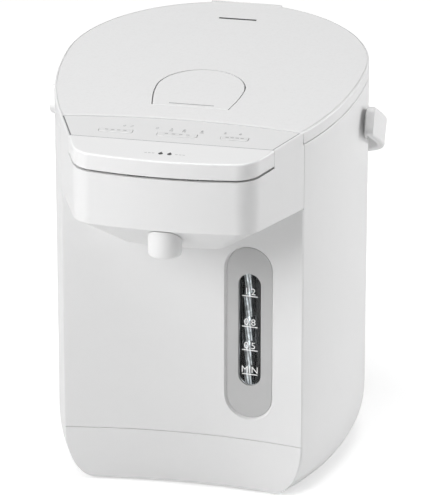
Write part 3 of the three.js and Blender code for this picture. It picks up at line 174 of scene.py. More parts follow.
# Lid, flap and hinge
LID_THICKNESS = 2.2
LID_EDGE = 1.1
LID_FOOT_EDGE = 0.4
LID_GROOVE = 0.45
LID_GROOVE_START = LID_EDGE + 0.1
LID_GROOVE_DEPTH = 0.7
FLAP_HALF = 25.5
FLAP_FRONT_Y = 26.2
FLAP_SIDE_Y = 56
FLAP_BULGE = 4
FLAP_APEX_Y = 86
FLAP_GROOVE = 0.7
FLAP_THICKNESS = 2
FLAP_EDGE = 0.35
FLAP_HINGE_Y = FLAP_FRONT_Y + 3.3
HINGE_Y = REAR_Y - 1.35
HINGE_DROP = 10.19
HINGE_HEIGHT = TOP_FRONT + TOP_SLOPE * HINGE_Y - HINGE_DROP
HINGE_PIN_RADIUS = 1.5
KNUCKLE_RADIUS = 3.4
LUG_RADIUS = 4.7
LUG_HALF = 24.5
LUG_REAR_DROP = LUG_RADIUS * 0.9
LUG_TOP_ROUND = LUG_RADIUS * 0.6
BRACKET_HALF = 11.5
STEAM_SLOT_Y = REAR_Y - 29.65
STEAM_SLOT_WIDTH = 26
STEAM_SLOT_GAP = 2.4
# Depth and foot of the dark plate that paints the shade in the steam slot.
STEAM_SHADE_DEPTH = 0.15
STEAM_SHADE_FOOT = LID_THICKNESS - 0.3

# Bail
BAIL_HEIGHT = TOP_FRONT - 28
BAIL_HALF = BODY_HALF + 2.5
BAIL_ARM = REAR_RUN + 18.15
BAIL_THICKNESS = 5.6
BAIL_BAND = 19.5
BAIL_FRONT = 18
BAIL_END_RADIUS = 5
BAIL_END_Y = BAIL_END_RADIUS - BAIL_FRONT
BAIL_TILT = math.radians(26)
BAIL_SQUARENESS = 3
BAIL_EDGE = 1.6
BAIL_STUD_RADIUS = 4
BOSS_RADIUS = 9.9
BOSS_EDGE = 0.6
BOSS_STUB_RADIUS = 6

# Inlet in the back
INLET_HEIGHT = 47
INLET_WIDTH = 30
INLET_TALL = 18

# How finely the round forms are divided, and how often a crossing is halved to find it
WALL_STATIONS = 145
FRONT_STATIONS = 48
HEAD_STATIONS = 168
ROUND_STEPS = 5
BISECTIONS = 50

FOOT_RING_Y = WIDEST_Y - 8.3
foot_low, foot_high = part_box("foot_ring")
ORIGIN_Y = FOOT_RING_Y - (foot_low.y + foot_high.y) / 2 / MM

slot_of = {part["node"]: part["material_slot"] for part in frame["record"]["subparts"]}
body_of = {name: node["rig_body"] for name, node in frame["nodes"].items()}


def place(x, y, z):
    """A point of the design in the frame's metres."""
    return x * MM, (y - ORIGIN_Y) * MM, (z + FOOT_DROP) * MM


def top_at(y):
    return TOP_FRONT + TOP_SLOPE * y


def below(depth):
    """The height that lies a depth under the sloping top, at any Y."""
    return lambda y: top_at(y) - depth


def height_at(level, y):
    return level(y) if callable(level) else level


def ring_at(outline, level):
    return [(x, y, height_at(level, y)) for x, y in outline]


# Meshes
def add_object(name, data):
    item = bpy.data.objects.new(name, data)
    bpy.context.scene.collection.objects.link(item)
    return item


def make_piece(name, points, faces, placed=True):
    """A mesh object at the origin, with its normals outwards and its place in its mesh."""
    mesh = bpy.data.meshes.new(name)
    mesh.from_pydata([place(*point) if placed else point for point in points], [], faces)
    shape = bmesh.new()
    shape.from_mesh(mesh)
    bmesh.ops.remove_doubles(shape, verts=shape.verts, dist=1e-7)
    bmesh.ops.recalc_face_normals(shape, faces=shape.faces)
    shape.to_mesh(mesh)
    shape.free()
    return add_object(name, mesh)


def skin(name, rings, closed=False):
    """A closed skin through rings of equally many points. The ends are capped unless it runs round."""
    count = len(rings[0])
    points = [point for ring in rings for point in ring]
    faces = []
    for r in range(len(rings) if closed else len(rings) - 1):
        after = (r + 1) % len(rings)
        for i in range(count):
            j = (i + 1) % count
            faces.append((r * count + i, r * count + j, after * count + j, after * count + i))
    if not closed:
        faces.append(tuple(reversed(range(count))))
        faces.append(tuple(range((len(rings) - 1) * count, len(rings) * count)))
    return make_piece(name, points, faces)


def prism(name, outline, low, high):
    """A solid with one outline from a low level to a high one."""
    return skin(name, [ring_at(outline, low), ring_at(outline, high)])


def bake(piece):
    """Turns the object with its modifiers into a plain mesh."""
    graph = bpy.context.evaluated_depsgraph_get()
    mesh = bpy.data.meshes.new_from_object(piece.evaluated_get(graph), depsgraph=graph)
    piece.modifiers.clear()
    old = piece.data
    piece.data = mesh
    bpy.data.meshes.remove(old)
    return piece


def carve(piece, *tools, operation="DIFFERENCE"):
    """Cuts the tools out of the piece, or joins them to it, and clears them away."""
    for tool in tools:
        step = piece.modifiers.new("carve", "BOOLEAN")
        step.operation = operation
        step.solver = "EXACT"
        step.object = tool
    bake(piece)
    for tool in tools:
        bpy.data.objects.remove(tool)
    return piece


def block(left, right, front, back, low, high):
    outline = [(left, front), (right, front), (right, back), (left, back)]
    return prism("block", outline, low, high)


def circle(radius, centre_x, centre_y, sides):
    angles = [2 * math.pi * i / sides for i in range(sides)]
    return [(centre_x + radius * math.cos(a), centre_y + radius * math.sin(a)) for a in angles]


def axle(radius, y, z, left, right, sides=48):
    ring = circle(radius, y, z, sides)
    return skin("axle", [[(x, py, pz) for py, pz in ring] for x in (left, right)])


def turned(name, profile, x, y, sides=96):
    """A turned piece: the profile closes on itself, in pairs of radius and height."""
    rings = []
    for i in range(sides):
        angle = 2 * math.pi * i / sides
        rings.append([(x + r * math.cos(angle), y + r * math.sin(angle), z) for r, z in profile])
    return skin(name, rings, closed=True)


def edge_round(radius, steps=ROUND_STEPS):
    """Pairs of how far a rounded edge is drawn in and how far it lies under the top, from the side up."""
    angles = [math.pi / 2 * i / steps for i in range(steps + 1)]
    return [(radius * (1 - math.cos(a)), radius * (1 - math.sin(a))) for a in angles]


# Outlines
def body_point(angle, inset):
    """A point of the body's plan, counted from its right side to the rear, drawn in square to the wall."""
    run = REAR_RUN if math.sin(angle) >= 0 else FRONT_RUN
    across = run * math.cos(angle)
    along = BODY_HALF * math.sin(angle)
    share = inset / math.hypot(across, along)
    x = BODY_HALF * math.cos(angle) - across * share
    y = WIDEST_Y + run * math.sin(angle) - along * share
    return x, y


def hollow(sag, offset):
    """The Y of a face that is hollowed between the two front corners, moved back by an offset."""
    return lambda x: sag * (1 - (x / CORNER_X) ** 2) + offset


def wall_path(inset, front, count=WALL_STATIONS):
    """The body's plan from the right front edge round the back to the left one."""
    low, high = -math.pi / 2, 0
    for _ in range(BISECTIONS):
        middle = (low + high) / 2
        x, y = body_point(middle, inset)
        if y < front(x):
            low = middle
        else:
            high = middle
    span = math.pi - 2 * high
    return [body_point(high + span * i / (count - 1), inset) for i in range(count)]


def closed_along(line, curve):
    """An open line, closed along a curve from its last point to its first."""
    first, last = line[0][0], line[-1][0]
    xs = [last + (first - last) * i / FRONT_STATIONS for i in range(1, FRONT_STATIONS)]
    return line + [(x, curve(x)) for x in xs]


def body_outline(inset, front):
    """The whole plan of the body, closed along a front curve."""
    return closed_along(wall_path(inset, front), front)


def between(start, end, share):
    """The point that lies a share of the way from one point of a plan to another."""
    return start[0] + (end[0] - start[0]) * share, start[1] + (end[1] - start[1]) * share


def moved_in(line, distance):
    """An open line moved to its left by a distance, with mitred corners."""
    moved = []
    for i, (x, y) in enumerate(line):
        before = line[max(i - 1, 0)]
        after = line[min(i + 1, len(line) - 1)]
        first = Vector((x - before[0], y - before[1])) if i > 0 else Vector((after[0] - x, after[1] - y))
        second = Vector((after[0] - x, after[1] - y)) if i < len(line) - 1 else first
        first.normalize()
        second = second.normalized()
        normal = Vector((-first.y - second.y, first.x + second.x))
        scale = distance / (1 + first.dot(second))
        moved.append((x + normal.x * scale, y + normal.y * scale))
    return moved


def resampled(line, count):
    """The same open line with evenly spaced points."""
    lengths = [0]
    for (ax, ay), (bx, by) in zip(line, line[1:]):
        lengths.append(lengths[-1] + math.hypot(bx - ax, by - ay))
    points = []
    k = 0
    for i in range(count):
        target = lengths[-1] * i / (count - 1)
        while k < len(line) - 2 and lengths[k + 1] < target:
            k += 1
        share = (target - lengths[k]) / (lengths[k + 1] - lengths[k])
        points.append(between(line[k], line[k + 1], share))
    return points


def clipped(line, limit):
    """The part of an open line in front of a limiting curve, ended on it."""
    inside = [y <= limit(x) for x, y in line]
    first = inside.index(True)
    last = len(line) - 1 - inside[::-1].index(True)

    def crossing(outer, inner):
        low, high = 0, 1
        for _ in range(BISECTIONS):
            middle = (low + high) / 2
            x, y = between(outer, inner, middle)
            if y > limit(x):
                low = middle
            else:
                high = middle
        return between(outer, inner, high)

    start = [crossing(line[first - 1], line[first])] if first > 0 else []
    end = [crossing(line[last + 1], line[last])] if last < len(line) - 1 else []
    return start + line[first:last + 1] + end


def head_line():
    """The head's plan from its left side round the front to its right side, run on past the corners."""
    run_on = 40
    arc_steps = 32
    front_steps = 16
    taper = Vector((-math.sin(HEAD_TAPER), -math.cos(HEAD_TAPER)))

    def front_y(x):
        return -HEAD_REACH + x * x / (2 * HEAD_FRONT_RADIUS)

    corner = Vector((CORNER_X, 0))
    for _ in range(BISECTIONS):
        corner = corner + taper * (corner.y - front_y(corner.x))
    front = Vector((-1, -corner.x / HEAD_FRONT_RADIUS)).normalized()
    bend = math.acos(taper.dot(front))
    start = corner - taper * (HEAD_CORNER * math.tan(bend / 2))
    centre = start + Vector((taper.y, -taper.x)) * HEAD_CORNER
    begin = math.atan2(start.y - centre.y, start.x - centre.x)
    side = Vector((CORNER_X, 0)) - taper * run_on
    right = [(side.x, side.y), (CORNER_X, 0)]
    for i in range(arc_steps + 1):
        angle = begin - bend * i / arc_steps
        right.append((centre.x + HEAD_CORNER * math.cos(angle), centre.y + HEAD_CORNER * math.sin(angle)))
    last_x = right[-1][0]
    for i in range(1, front_steps):
        x = last_x * (1 - i / front_steps)
        right.append((x, front_y(x)))
    left = [(-x, y) for x, y in right]
    return left + [(0, -HEAD_REACH)] + right[::-1]


HEAD_LINE = head_line()


def head_outline(inset, limit):
    """The head's plan, drawn in, and closed at the back along a limiting curve."""
    line = resampled(clipped(moved_in(HEAD_LINE, inset), limit), HEAD_STATIONS)
    return closed_along(line, limit)


def straight(y):
    return lambda x: y


def stadium(width, low, high, grow=0, steps=24):
    """A tall slot with round ends, in pairs of X and Z from its own middle line."""
    radius = width / 2 + grow
    points = []
    for centre, start in ((high - width / 2, 0), (low + width / 2, math.pi)):
        for i in range(steps + 1):
            angle = start + math.pi * i / steps
            points.append((radius * math.cos(angle), centre + radius * math.sin(angle)))
    return points


GAUGE_TURN = math.atan(-2 * PANEL_SAG * GAUGE_X / CORNER_X ** 2)
GAUGE_FACE = hollow(PANEL_SAG, 0)(GAUGE_X)


def on_gauge(across, depth, z):
    """A point on the gauge: across it, behind the panel's face, and up."""
    x = GAUGE_X + across * math.cos(GAUGE_TURN) - depth * math.sin(GAUGE_TURN)
    y = GAUGE_FACE + across * math.sin(GAUGE_TURN) + depth * math.cos(GAUGE_TURN)
    return x, y, z


def gauge_ring(outline, depth):
    return [on_gauge(across, depth, z) for across, z in outline]


def bezel_ring(grow, depth):
    return gauge_ring(stadium(BEZEL_WIDTH, BEZEL_LOW, BEZEL_HIGH, grow), depth)


def window_ring(grow, depth):
    return gauge_ring(stadium(WINDOW_WIDTH, WINDOW_LOW, WINDOW_HIGH, grow), depth)


def rounded_rectangle(half_x, half_y, radius, centre_x=0, centre_y=0, steps=8):
    points = []
    corners = ((1, -1, -math.pi / 2), (1, 1, 0), (-1, 1, math.pi / 2), (-1, -1, math.pi))
    for side_x, side_y, start in corners:
        for i in range(steps + 1):
            angle = start + math.pi / 2 * i / steps
            x = centre_x + side_x * (half_x - radius) + radius * math.cos(angle)
            y = centre_y + side_y * (half_y - radius) + radius * math.sin(angle)
            points.append((x, y))
    return points


def flap_outline(grow):
    """The arch-shaped flap in the lid."""
    points = [(-FLAP_HALF - grow, FLAP_FRONT_Y - grow), (FLAP_HALF + grow, FLAP_FRONT_Y - grow)]
    side_steps = 10
    dome_steps = 48
    sides = []
    for i in range(1, side_steps):
        share = i / side_steps
        bulge = FLAP_BULGE * math.sin(share * math.pi / 2)
        sides.append((FLAP_HALF + grow + bulge, FLAP_FRONT_Y + (FLAP_SIDE_Y - FLAP_FRONT_Y) * share))
    points += sides
    for i in range(dome_steps + 1):
        angle = math.pi * i / dome_steps
        x = (FLAP_HALF + FLAP_BULGE + grow) * math.cos(angle)
        points.append((x, FLAP_SIDE_Y + (FLAP_APEX_Y - FLAP_SIDE_Y + grow) * math.sin(angle)))
    return points + [(-x, y) for x, y in sides[::-1]]


# Finishes: effects that several materials share
def effect(name, inputs, outputs):
    """An empty node group with named inputs and outputs."""
    group = bpy.data.node_groups.new(name, "ShaderNodeTree")
    for label, kind, value in inputs:
        socket = group.interface.new_socket(label, in_out="INPUT", socket_type=kind)
        if value is not None:
            socket.default_value = value
    for label, kind in outputs:
        group.interface.new_socket(label, in_out="OUTPUT", socket_type=kind)
    entry = group.nodes.new("NodeGroupInput")
    leave = group.nodes.new("NodeGroupOutput")
    return group, entry.outputs, leave.inputs


def noise(tree, scale, detail, roughness=0.5):
    node = tree.nodes.new("ShaderNodeTexNoise")
    node.inputs["Scale"].default_value = scale
    node.inputs["Detail"].default_value = detail
    node.inputs["Roughness"].default_value = roughness
    return node


def arithmetic(tree, operation, first, second):
    """A Math node. Each side is a number or an output."""
    node = tree.nodes.new("ShaderNodeMath")
    node.operation = operation
    for socket, value in zip(node.inputs, (first, second)):
        if isinstance(value, (int, float)):
            socket.default_value = value
        else:
            tree.links.new(value, socket)
    return node.outputs[0]


def blended(tree, factor, first, second):
    """A colour between two others. Each is a colour or an output."""
    node = tree.nodes.new("ShaderNodeMix")
    node.data_type = "RGBA"
    tree.links.new(factor, node.inputs["Factor"])
    for socket, value in zip((node.inputs["A"], node.inputs["B"]), (first, second)):
        if isinstance(value, tuple):
            socket.default_value = (*value, 1)
        else:
            tree.links.new(value, socket)
    return node.outputs["Result"]


def mapped(tree, value, low, high, new_low, new_high):
    """An output stretched from one range to another, and held to it."""
    node = tree.nodes.new("ShaderNodeMapRange")
    tree.links.new(value, node.inputs["Value"])
    for label, number in (("From Min", low), ("From Max", high), ("To Min", new_low), ("To Max", new_high)):
        node.inputs[label].default_value = number
    return node.outputs["Result"]


def make_moulding_grain():
    """Fine texture of a moulded surface, with slow swell from cooling."""
    inputs = [("Vector", "NodeSocketVector", None), ("Grain", "NodeSocketFloat", 1.0)]
    outputs = [("Height", "NodeSocketFloat"), ("Mottle", "NodeSocketFloat")]
    group, entry, leave = effect("moulding_grain", inputs, outputs)
    fine = noise(group, 2600, 3, 0.6)
    swell = noise(group, 26, 2)
    cloud = noise(group, 90, 4)
    for node in (fine, swell, cloud):
        group.links.new(entry["Vector"], node.inputs["Vector"])
    grain = arithmetic(group, "MULTIPLY", fine.outputs["Fac"], entry["Grain"])
    height = arithmetic(group, "ADD", grain, swell.outputs["Fac"])
    group.links.new(height, leave["Height"])
    group.links.new(cloud.outputs["Fac"], leave["Mottle"])
    return group


def make_handling_dust():
    """Dust that settles on faces that look up, and the faint smears of hands."""
    inputs = [
        ("Vector", "NodeSocketVector", None),
        ("Dust", "NodeSocketFloat", 0.2),
        ("Smears", "NodeSocketFloat", 0.2),
    ]
    outputs = [("Dust Mask", "NodeSocketFloat"), ("Smear Mask", "NodeSocketFloat")]
    group, entry, leave = effect("handling_dust", inputs, outputs)
    shape = group.nodes.new("ShaderNodeNewGeometry")
    split = group.nodes.new("ShaderNodeSeparateXYZ")
    group.links.new(shape.outputs["Normal"], split.inputs["Vector"])
    upward = mapped(group, split.outputs["Z"], 0.5, 1.0, 0.0, 1.0)
    specks = noise(group, 420, 6, 0.7)
    smears = noise(group, 34, 5, 0.65)
    for node in (specks, smears):
        group.links.new(entry["Vector"], node.inputs["Vector"])
    settled = mapped(group, specks.outputs["Fac"], 0.48, 0.78, 0.0, 1.0)
    dust = arithmetic(group, "MULTIPLY", arithmetic(group, "MULTIPLY", settled, upward), entry["Dust"])
    smear = mapped(group, smears.outputs["Fac"], 0.45, 0.75, 0.0, 1.0)
    group.links.new(dust, leave["Dust Mask"])
    group.links.new(arithmetic(group, "MULTIPLY", smear, entry["Smears"]), leave["Smear Mask"])
    return group


def make_rubbed_edges():
    """Where a convex edge is rubbed, broken up by noise."""
    inputs = [("Vector", "NodeSocketVector", None), ("Amount", "NodeSocketFloat", 0.5)]
    outputs = [("Mask", "NodeSocketFloat")]
    group, entry, leave = effect("rubbed_edges", inputs, outputs)
    shape = group.nodes.new("ShaderNodeNewGeometry")
    edge = mapped(group, shape.outputs["Pointiness"], 0.52, 0.6, 0.0, 1.0)
    rubs = noise(group, 240, 5, 0.7)
    group.links.new(entry["Vector"], rubs.inputs["Vector"])
    broken = mapped(group, rubs.outputs["Fac"], 0.4, 0.7, 0.0, 1.0)
    mask = arithmetic(group, "MULTIPLY", arithmetic(group, "MULTIPLY", edge, broken), entry["Amount"])
    group.links.new(mask, leave["Mask"])
    return group


def make_drawn_lines():
    """The fine lines of drawn metal. A stretch above 1 lays them across the upright axis."""
    inputs = [("Vector", "NodeSocketVector", None), ("Stretch", "NodeSocketFloat", 40.0)]
    group, entry, leave = effect("drawn_lines", inputs, [("Lines", "NodeSocketFloat")])
    split = group.nodes.new("ShaderNodeSeparateXYZ")
    join = group.nodes.new("ShaderNodeCombineXYZ")
    group.links.new(entry["Vector"], split.inputs["Vector"])
    group.links.new(split.outputs["X"], join.inputs["X"])
    group.links.new(split.outputs["Y"], join.inputs["Y"])
    group.links.new(arithmetic(group, "MULTIPLY", split.outputs["Z"], entry["Stretch"]), join.inputs["Z"])
    lines = noise(group, 60, 6, 0.7)
    group.links.new(join.outputs["Vector"], lines.inputs["Vector"])
    group.links.new(lines.outputs["Fac"], leave["Lines"])
    return group


EFFECTS = {
    "grain": make_moulding_grain(),
    "dust": make_handling_dust(),
    "edges": make_rubbed_edges(),
    "lines": make_drawn_lines(),
}


def begin_material(name):
    """A material with its shader and its object coordinates ready."""
    material = bpy.data.materials.new(name)
    material.use_nodes = True
    tree = material.node_tree
    shader = tree.nodes["Principled BSDF"]
    coordinates = tree.nodes.new("ShaderNodeTexCoord")
    return material, tree, shader, coordinates.outputs["Object"]


def use_effect(tree, key, vector, **values):
    node = tree.nodes.new("ShaderNodeGroup")
    node.node_tree = EFFECTS[key]
    tree.links.new(vector, node.inputs["Vector"])
    for label, value in values.items():
        node.inputs[label].default_value = value
    return node.outputs


def bump(tree, shader, height, strength, distance):
    node = tree.nodes.new("ShaderNodeBump")
    node.inputs["Strength"].default_value = strength
    node.inputs["Distance"].default_value = distance
    tree.links.new(height, node.inputs["Height"])
    tree.links.new(node.outputs["Normal"], shader.inputs["Normal"])


def moulded_plastic(name, colour, shade, roughness, grain, dust=0.2, smears=0.2, depth=0.00002, rub=0.0):
    """A moulded plastic: its colour with a faint mottle, fine grain, dust, smears and rubbed edges."""
    material, tree, shader, vector = begin_material(name)
    texture = use_effect(tree, "grain", vector, Grain=grain)
    handled = use_effect(tree, "dust", vector, Dust=dust, Smears=smears)
    rubbed = use_effect(tree, "edges", vector, Amount=rub)
    mottled = blended(tree, texture["Mottle"], shade, colour)
    dusty = blended(tree, handled["Dust Mask"], mottled, (0.62, 0.61, 0.6))
    worn = blended(tree, rubbed["Mask"], dusty, (0.86, 0.86, 0.86))
    tree.links.new(worn, shader.inputs["Base Color"])
    smeared = arithmetic(tree, "MULTIPLY", handled["Smear Mask"], 0.18)
    dulled = arithmetic(tree, "MULTIPLY", handled["Dust Mask"], 0.3)
    total = arithmetic(tree, "ADD", arithmetic(tree, "ADD", smeared, dulled), roughness)
    tree.links.new(total, shader.inputs["Roughness"])
    bump(tree, shader, texture["Height"], 0.35, depth)
    return material


def metal(name, colour, shade, roughness, stretch):
    """Drawn metal, whose lines vary its colour and its gloss, with faint smears."""
    material, tree, shader, vector = begin_material(name)
    drawn = use_effect(tree, "lines", vector, Stretch=stretch)["Lines"]
    handled = use_effect(tree, "dust", vector, Dust=0.05, Smears=0.12)
    tree.links.new(blended(tree, drawn, shade, colour), shader.inputs["Base Color"])
    streaked = mapped(tree, drawn, 0.3, 0.7, roughness * 0.7, roughness * 1.4)
    smeared = arithmetic(tree, "MULTIPLY", handled["Smear Mask"], 0.2)
    tree.links.new(arithmetic(tree, "ADD", streaked, smeared), shader.inputs["Roughness"])
    shader.inputs["Metallic"].default_value = 1
    bump(tree, shader, drawn, 0.2, 0.00001)
    return material


def clear_plastic(name, tint, ior, wave):
    """Clear plastic or glass, with a slow wave in its surface."""
    material, tree, shader, vector = begin_material(name)
    handled = use_effect(tree, "dust", vector, Dust=0.1, Smears=0.3)
    texture = use_effect(tree, "grain", vector, Grain=0.0)
    tree.links.new(blended(tree, texture["Mottle"], tint, (0.97, 0.98, 0.98)), shader.inputs["Base Color"])
    smeared = arithmetic(tree, "MULTIPLY", handled["Smear Mask"], 0.06)
    tree.links.new(arithmetic(tree, "ADD", smeared, 0.02), shader.inputs["Roughness"])
    shader.inputs["Transmission Weight"].default_value = 1
    shader.inputs["IOR"].default_value = ior
    bump(tree, shader, texture["Height"], 0.5, wave)
    return material


# Pitch, slant and side offset of the painted glints in the tube.
STREAK_PITCH = 0.0172
STREAK_SLANT = 0.0024
STREAK_SIDE = 0.0015
PAINTED_GLINT_COLOUR = (0.4, 0.42, 0.43)


def glass_with_painted_glints(name, tint, ior, wave, centre_x):
    """Clear glass with painted glints: slanting streaks that glow, standing in for reflections. Metres."""
    material = clear_plastic(name, tint, ior, wave)
    tree = material.node_tree
    shader = tree.nodes["Principled BSDF"]
    coordinates = tree.nodes.new("ShaderNodeTexCoord")
    split = tree.nodes.new("ShaderNodeSeparateXYZ")
    tree.links.new(coordinates.outputs["Object"], split.inputs["Vector"])
    run = arithmetic(tree, "FRACT", arithmetic(tree, "DIVIDE", split.outputs["Z"], STREAK_PITCH), 0)
    slanted = arithmetic(tree, "MULTIPLY", run, STREAK_SLANT)
    across = arithmetic(tree, "ADD", arithmetic(tree, "SUBTRACT", split.outputs["X"], centre_x), slanted)
    half = STREAK_SLANT / 2
    middle = arithmetic(tree, "ABSOLUTE", arithmetic(tree, "SUBTRACT", across, half), 0)
    beside = arithmetic(tree, "ABSOLUTE", arithmetic(tree, "ADD", across, STREAK_SIDE - half), 0)
    painted_glint_core = mapped(tree, middle, 0.0002, 0.0008, 1.0, 0.0)
    faint = mapped(tree, beside, 0.0001, 0.0005, 0.45, 0.0)
    rough = noise(tree, 260, 2)
    tree.links.new(coordinates.outputs["Object"], rough.inputs["Vector"])
    broken = mapped(tree, rough.outputs["Fac"], 0.35, 0.6, 0.35, 1.0)
    mask = arithmetic(tree, "MULTIPLY", arithmetic(tree, "ADD", painted_glint_core, faint), broken)
    # The emission paints the glints: a painted reflection that glows, not light the glass catches.
    tree.links.new(blended(tree, mask, (0, 0, 0), PAINTED_GLINT_COLOUR), shader.inputs["Emission Color"])
    shader.inputs["Emission Strength"].default_value = 1
    return material


def ink(name, colour):
    """Printed marks: flat ink whose cover varies a little."""
    material, tree, shader, vector = begin_material(name)
    texture = use_effect(tree, "grain", vector, Grain=1.0)
    paler = tuple(min(part * 1.25 + 0.02, 1) for part in colour)
    tree.links.new(blended(tree, texture["Mottle"], paler, colour), shader.inputs["Base Color"])
    tree.links.new(mapped(tree, texture["Mottle"], 0.3, 0.7, 0.45, 0.6), shader.inputs["Roughness"])
    return material


def circuit_board(name, colour, shade):
    """Lacquered board with faint tracks."""
    material, tree, shader, vector = begin_material(name)
    texture = use_effect(tree, "grain", vector, Grain=1.0)
    tracks = tree.nodes.new("ShaderNodeTexBrick")
    tracks.inputs["Scale"].default_value = 160
    tracks.inputs["Mortar Size"].default_value = 0.06
    tree.links.new(vector, tracks.inputs["Vector"])
    lacquer = blended(tree, texture["Mottle"], shade, colour)
    pale = tuple(min(part * 1.8 + 0.03, 1) for part in colour)
    tree.links.new(blended(tree, tracks.outputs["Fac"], lacquer, pale), shader.inputs["Base Color"])
    tree.links.new(mapped(tree, texture["Mottle"], 0.3, 0.7, 0.3, 0.5), shader.inputs["Roughness"])
    bump(tree, shader, tracks.outputs["Fac"], 0.3, 0.00004)
    return material


MATERIALS = {
    "white_shell": moulded_plastic(
        "white_shell", (0.8, 0.8, 0.8), (0.785, 0.785, 0.787), roughness=0.38, grain=0.6),
    "white_gloss": moulded_plastic(
        "white_gloss", (0.82, 0.82, 0.82), (0.81, 0.81, 0.812), roughness=0.3, grain=0.1,
        dust=0.05, depth=0.000003),
    "grey_plate": moulded_plastic(
        "grey_plate", (0.52, 0.52, 0.52), (0.5, 0.5, 0.502), roughness=0.34, grain=0.5),
    "dark_plastic": moulded_plastic(
        "dark_plastic", (0.016, 0.016, 0.018), (0.022, 0.022, 0.024), roughness=0.45, grain=1.0,
        dust=0.1, rub=0.03),
    "clear_plastic": clear_plastic("clear_plastic", (0.93, 0.95, 0.96), ior=1.2, wave=0.000002),
    "stainless": metal("stainless", (0.62, 0.63, 0.64), (0.5, 0.51, 0.52), roughness=0.22, stretch=12.0),
    "rubber": moulded_plastic(
        "rubber", (0.07, 0.07, 0.07), (0.055, 0.055, 0.057), roughness=0.7, grain=1.6,
        dust=0.5, depth=0.00006, rub=0.05),
    "silicone": moulded_plastic(
        "silicone", (0.7, 0.7, 0.68), (0.64, 0.64, 0.62), roughness=0.5, grain=0.8, depth=0.00003),
    "green_board": circuit_board("green_board", (0.02, 0.11, 0.05), (0.015, 0.08, 0.04)),
    "brown_board": circuit_board("brown_board", (0.2, 0.1, 0.05), (0.16, 0.08, 0.04)),
}
FILM_WHITE = moulded_plastic(
    "film_white", (0.765, 0.765, 0.765), (0.755, 0.755, 0.757), roughness=0.34, grain=0.1,
    dust=0.05, depth=0.000003)
GREY_INK = ink("grey_ink", (0.3, 0.3, 0.3))
DARK_INK = ink("dark_ink", (0.06, 0.06, 0.06))
WHITE_INK = ink("white_ink", (0.85, 0.85, 0.85))

SHARP_ANGLE = math.radians(28)
EDGE_SEGMENTS = 3
NORMAL_WEIGHT = 60


def finish_edges(piece, width):
    """Smooth faces, small round edges and normals that keep the flats flat."""
    mesh = piece.data
    mesh.shade_smooth()
    mesh.set_sharp_from_angle(angle=SHARP_ANGLE)
    if width:
        edges = piece.modifiers.new("edges", "BEVEL")
        edges.width = width * MM
        edges.segments = EDGE_SEGMENTS
        edges.limit_method = "ANGLE"
        edges.angle_limit = SHARP_ANGLE
        edges.use_clamp_overlap = True
        edges.harden_normals = False
    normals = piece.modifiers.new("normals", "WEIGHTED_NORMAL")
    normals.keep_sharp = True
    normals.weight = NORMAL_WEIGHT


def dress(piece, *nodes, width=0.25, material=None):
    """Finishes a piece and lets it stand for its CAD nodes, on their body."""
    node = nodes[0]
    piece.data.materials.clear()
    piece.data.materials.append(material or MATERIALS[slot_of[node]])
    finish_edges(piece, width)
    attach(piece, body_of[node])
    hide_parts(*nodes)
    return piece


def add_to(node, piece, material):
    """Gives an added piece its material and lets it ride with a CAD node, in that node's slot or another."""
    piece.data.materials.clear()
    piece.data.materials.append(material)
    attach(piece, body_of[node])


# Outer shell: sides and back in one wall with a rounded lower edge
def make_outer_shell():
    front = hollow(PANEL_SAG, SEAM_DEPTH + GAP)
    seam = RIM_HEIGHT + SEAM_GAP
    steps = 12
    fillet = [math.pi / 2 * i / steps for i in range(steps + 1)]
    profile = [(FILLET_WIDTH + WALL, 0)]
    for a in fillet:
        profile.append((FILLET_WIDTH * (1 - math.sin(a)), FILLET_HEIGHT * (1 - math.cos(a))))
    profile += [(inset, below(seam + drop)) for inset, drop in edge_round(SHELL_EDGE)]
    profile.append((WALL, below(seam)))
    for a in fillet[::-1]:
        inner = FILLET_WIDTH - (FILLET_WIDTH - WALL) * math.sin(a)
        profile.append((inner, FILLET_HEIGHT - (FILLET_HEIGHT - WALL) * math.cos(a)))
    profile.append((FILLET_WIDTH + WALL, WALL))
    paths = [wall_path(inset, front) for inset, _ in profile]
    rings = []
    for station in range(WALL_STATIONS):
        ring = []
        for path, (_, level) in zip(paths, profile):
            x, y = path[station]
            ring.append((x, y, height_at(level, y)))
        rings.append(ring)
    shell = skin("shell_wall", rings)
    notch = LUG_HALF + RUNNING_GAP
    notch_floor = HINGE_HEIGHT - LUG_RADIUS - RUNNING_GAP * 2
    inlet_x, inlet_z = INLET_WIDTH / 2 + GAP, INLET_TALL / 2 + GAP
    carve(
        shell,
        block(-notch, notch, HINGE_Y - LUG_RADIUS * 3, FAR, notch_floor, FAR),
        axle(BOSS_STUB_RADIUS + GAP, WIDEST_Y, BAIL_HEIGHT, -FAR, FAR),
        block(-inlet_x, inlet_x, WIDEST_Y, FAR, INLET_HEIGHT - inlet_z, INLET_HEIGHT + inlet_z),
    )
    return dress(shell, "outer_shell", width=0.4)


# Front panel and base band: one hollowed face, parted by the base seam
def fillet_inset(z):
    """How far the rounded lower edge draws the wall in at a height."""
    if z >= FILLET_HEIGHT:
        return 0
    return FILLET_WIDTH * (1 - math.sqrt(1 - ((FILLET_HEIGHT - z) / FILLET_HEIGHT) ** 2))


def face_ring(z):
    """The panel's section at a height: hollowed face, thin lips at its sides, thicker in between."""
    inset = fillet_inset(z)
    steps = FRONT_STATIONS

    def row(offset, drawn_in, forward):
        face = hollow(PANEL_SAG, offset)
        half = wall_path(inset + drawn_in, face, 3)[0][0]
        xs = [-half + 2 * half * i / steps for i in range(steps + 1)]
        return [(x, face(x), z) for x in (xs if forward else xs[::-1])]

    edge = row(SEAM_DEPTH, 0, False)
    thick = row(WALL, WALL + GAP, False)
    step = row(SEAM_DEPTH, WALL + GAP, False)
    return row(0, 0, True) + [edge[0], step[0]] + thick + [step[-1], edge[-1]]


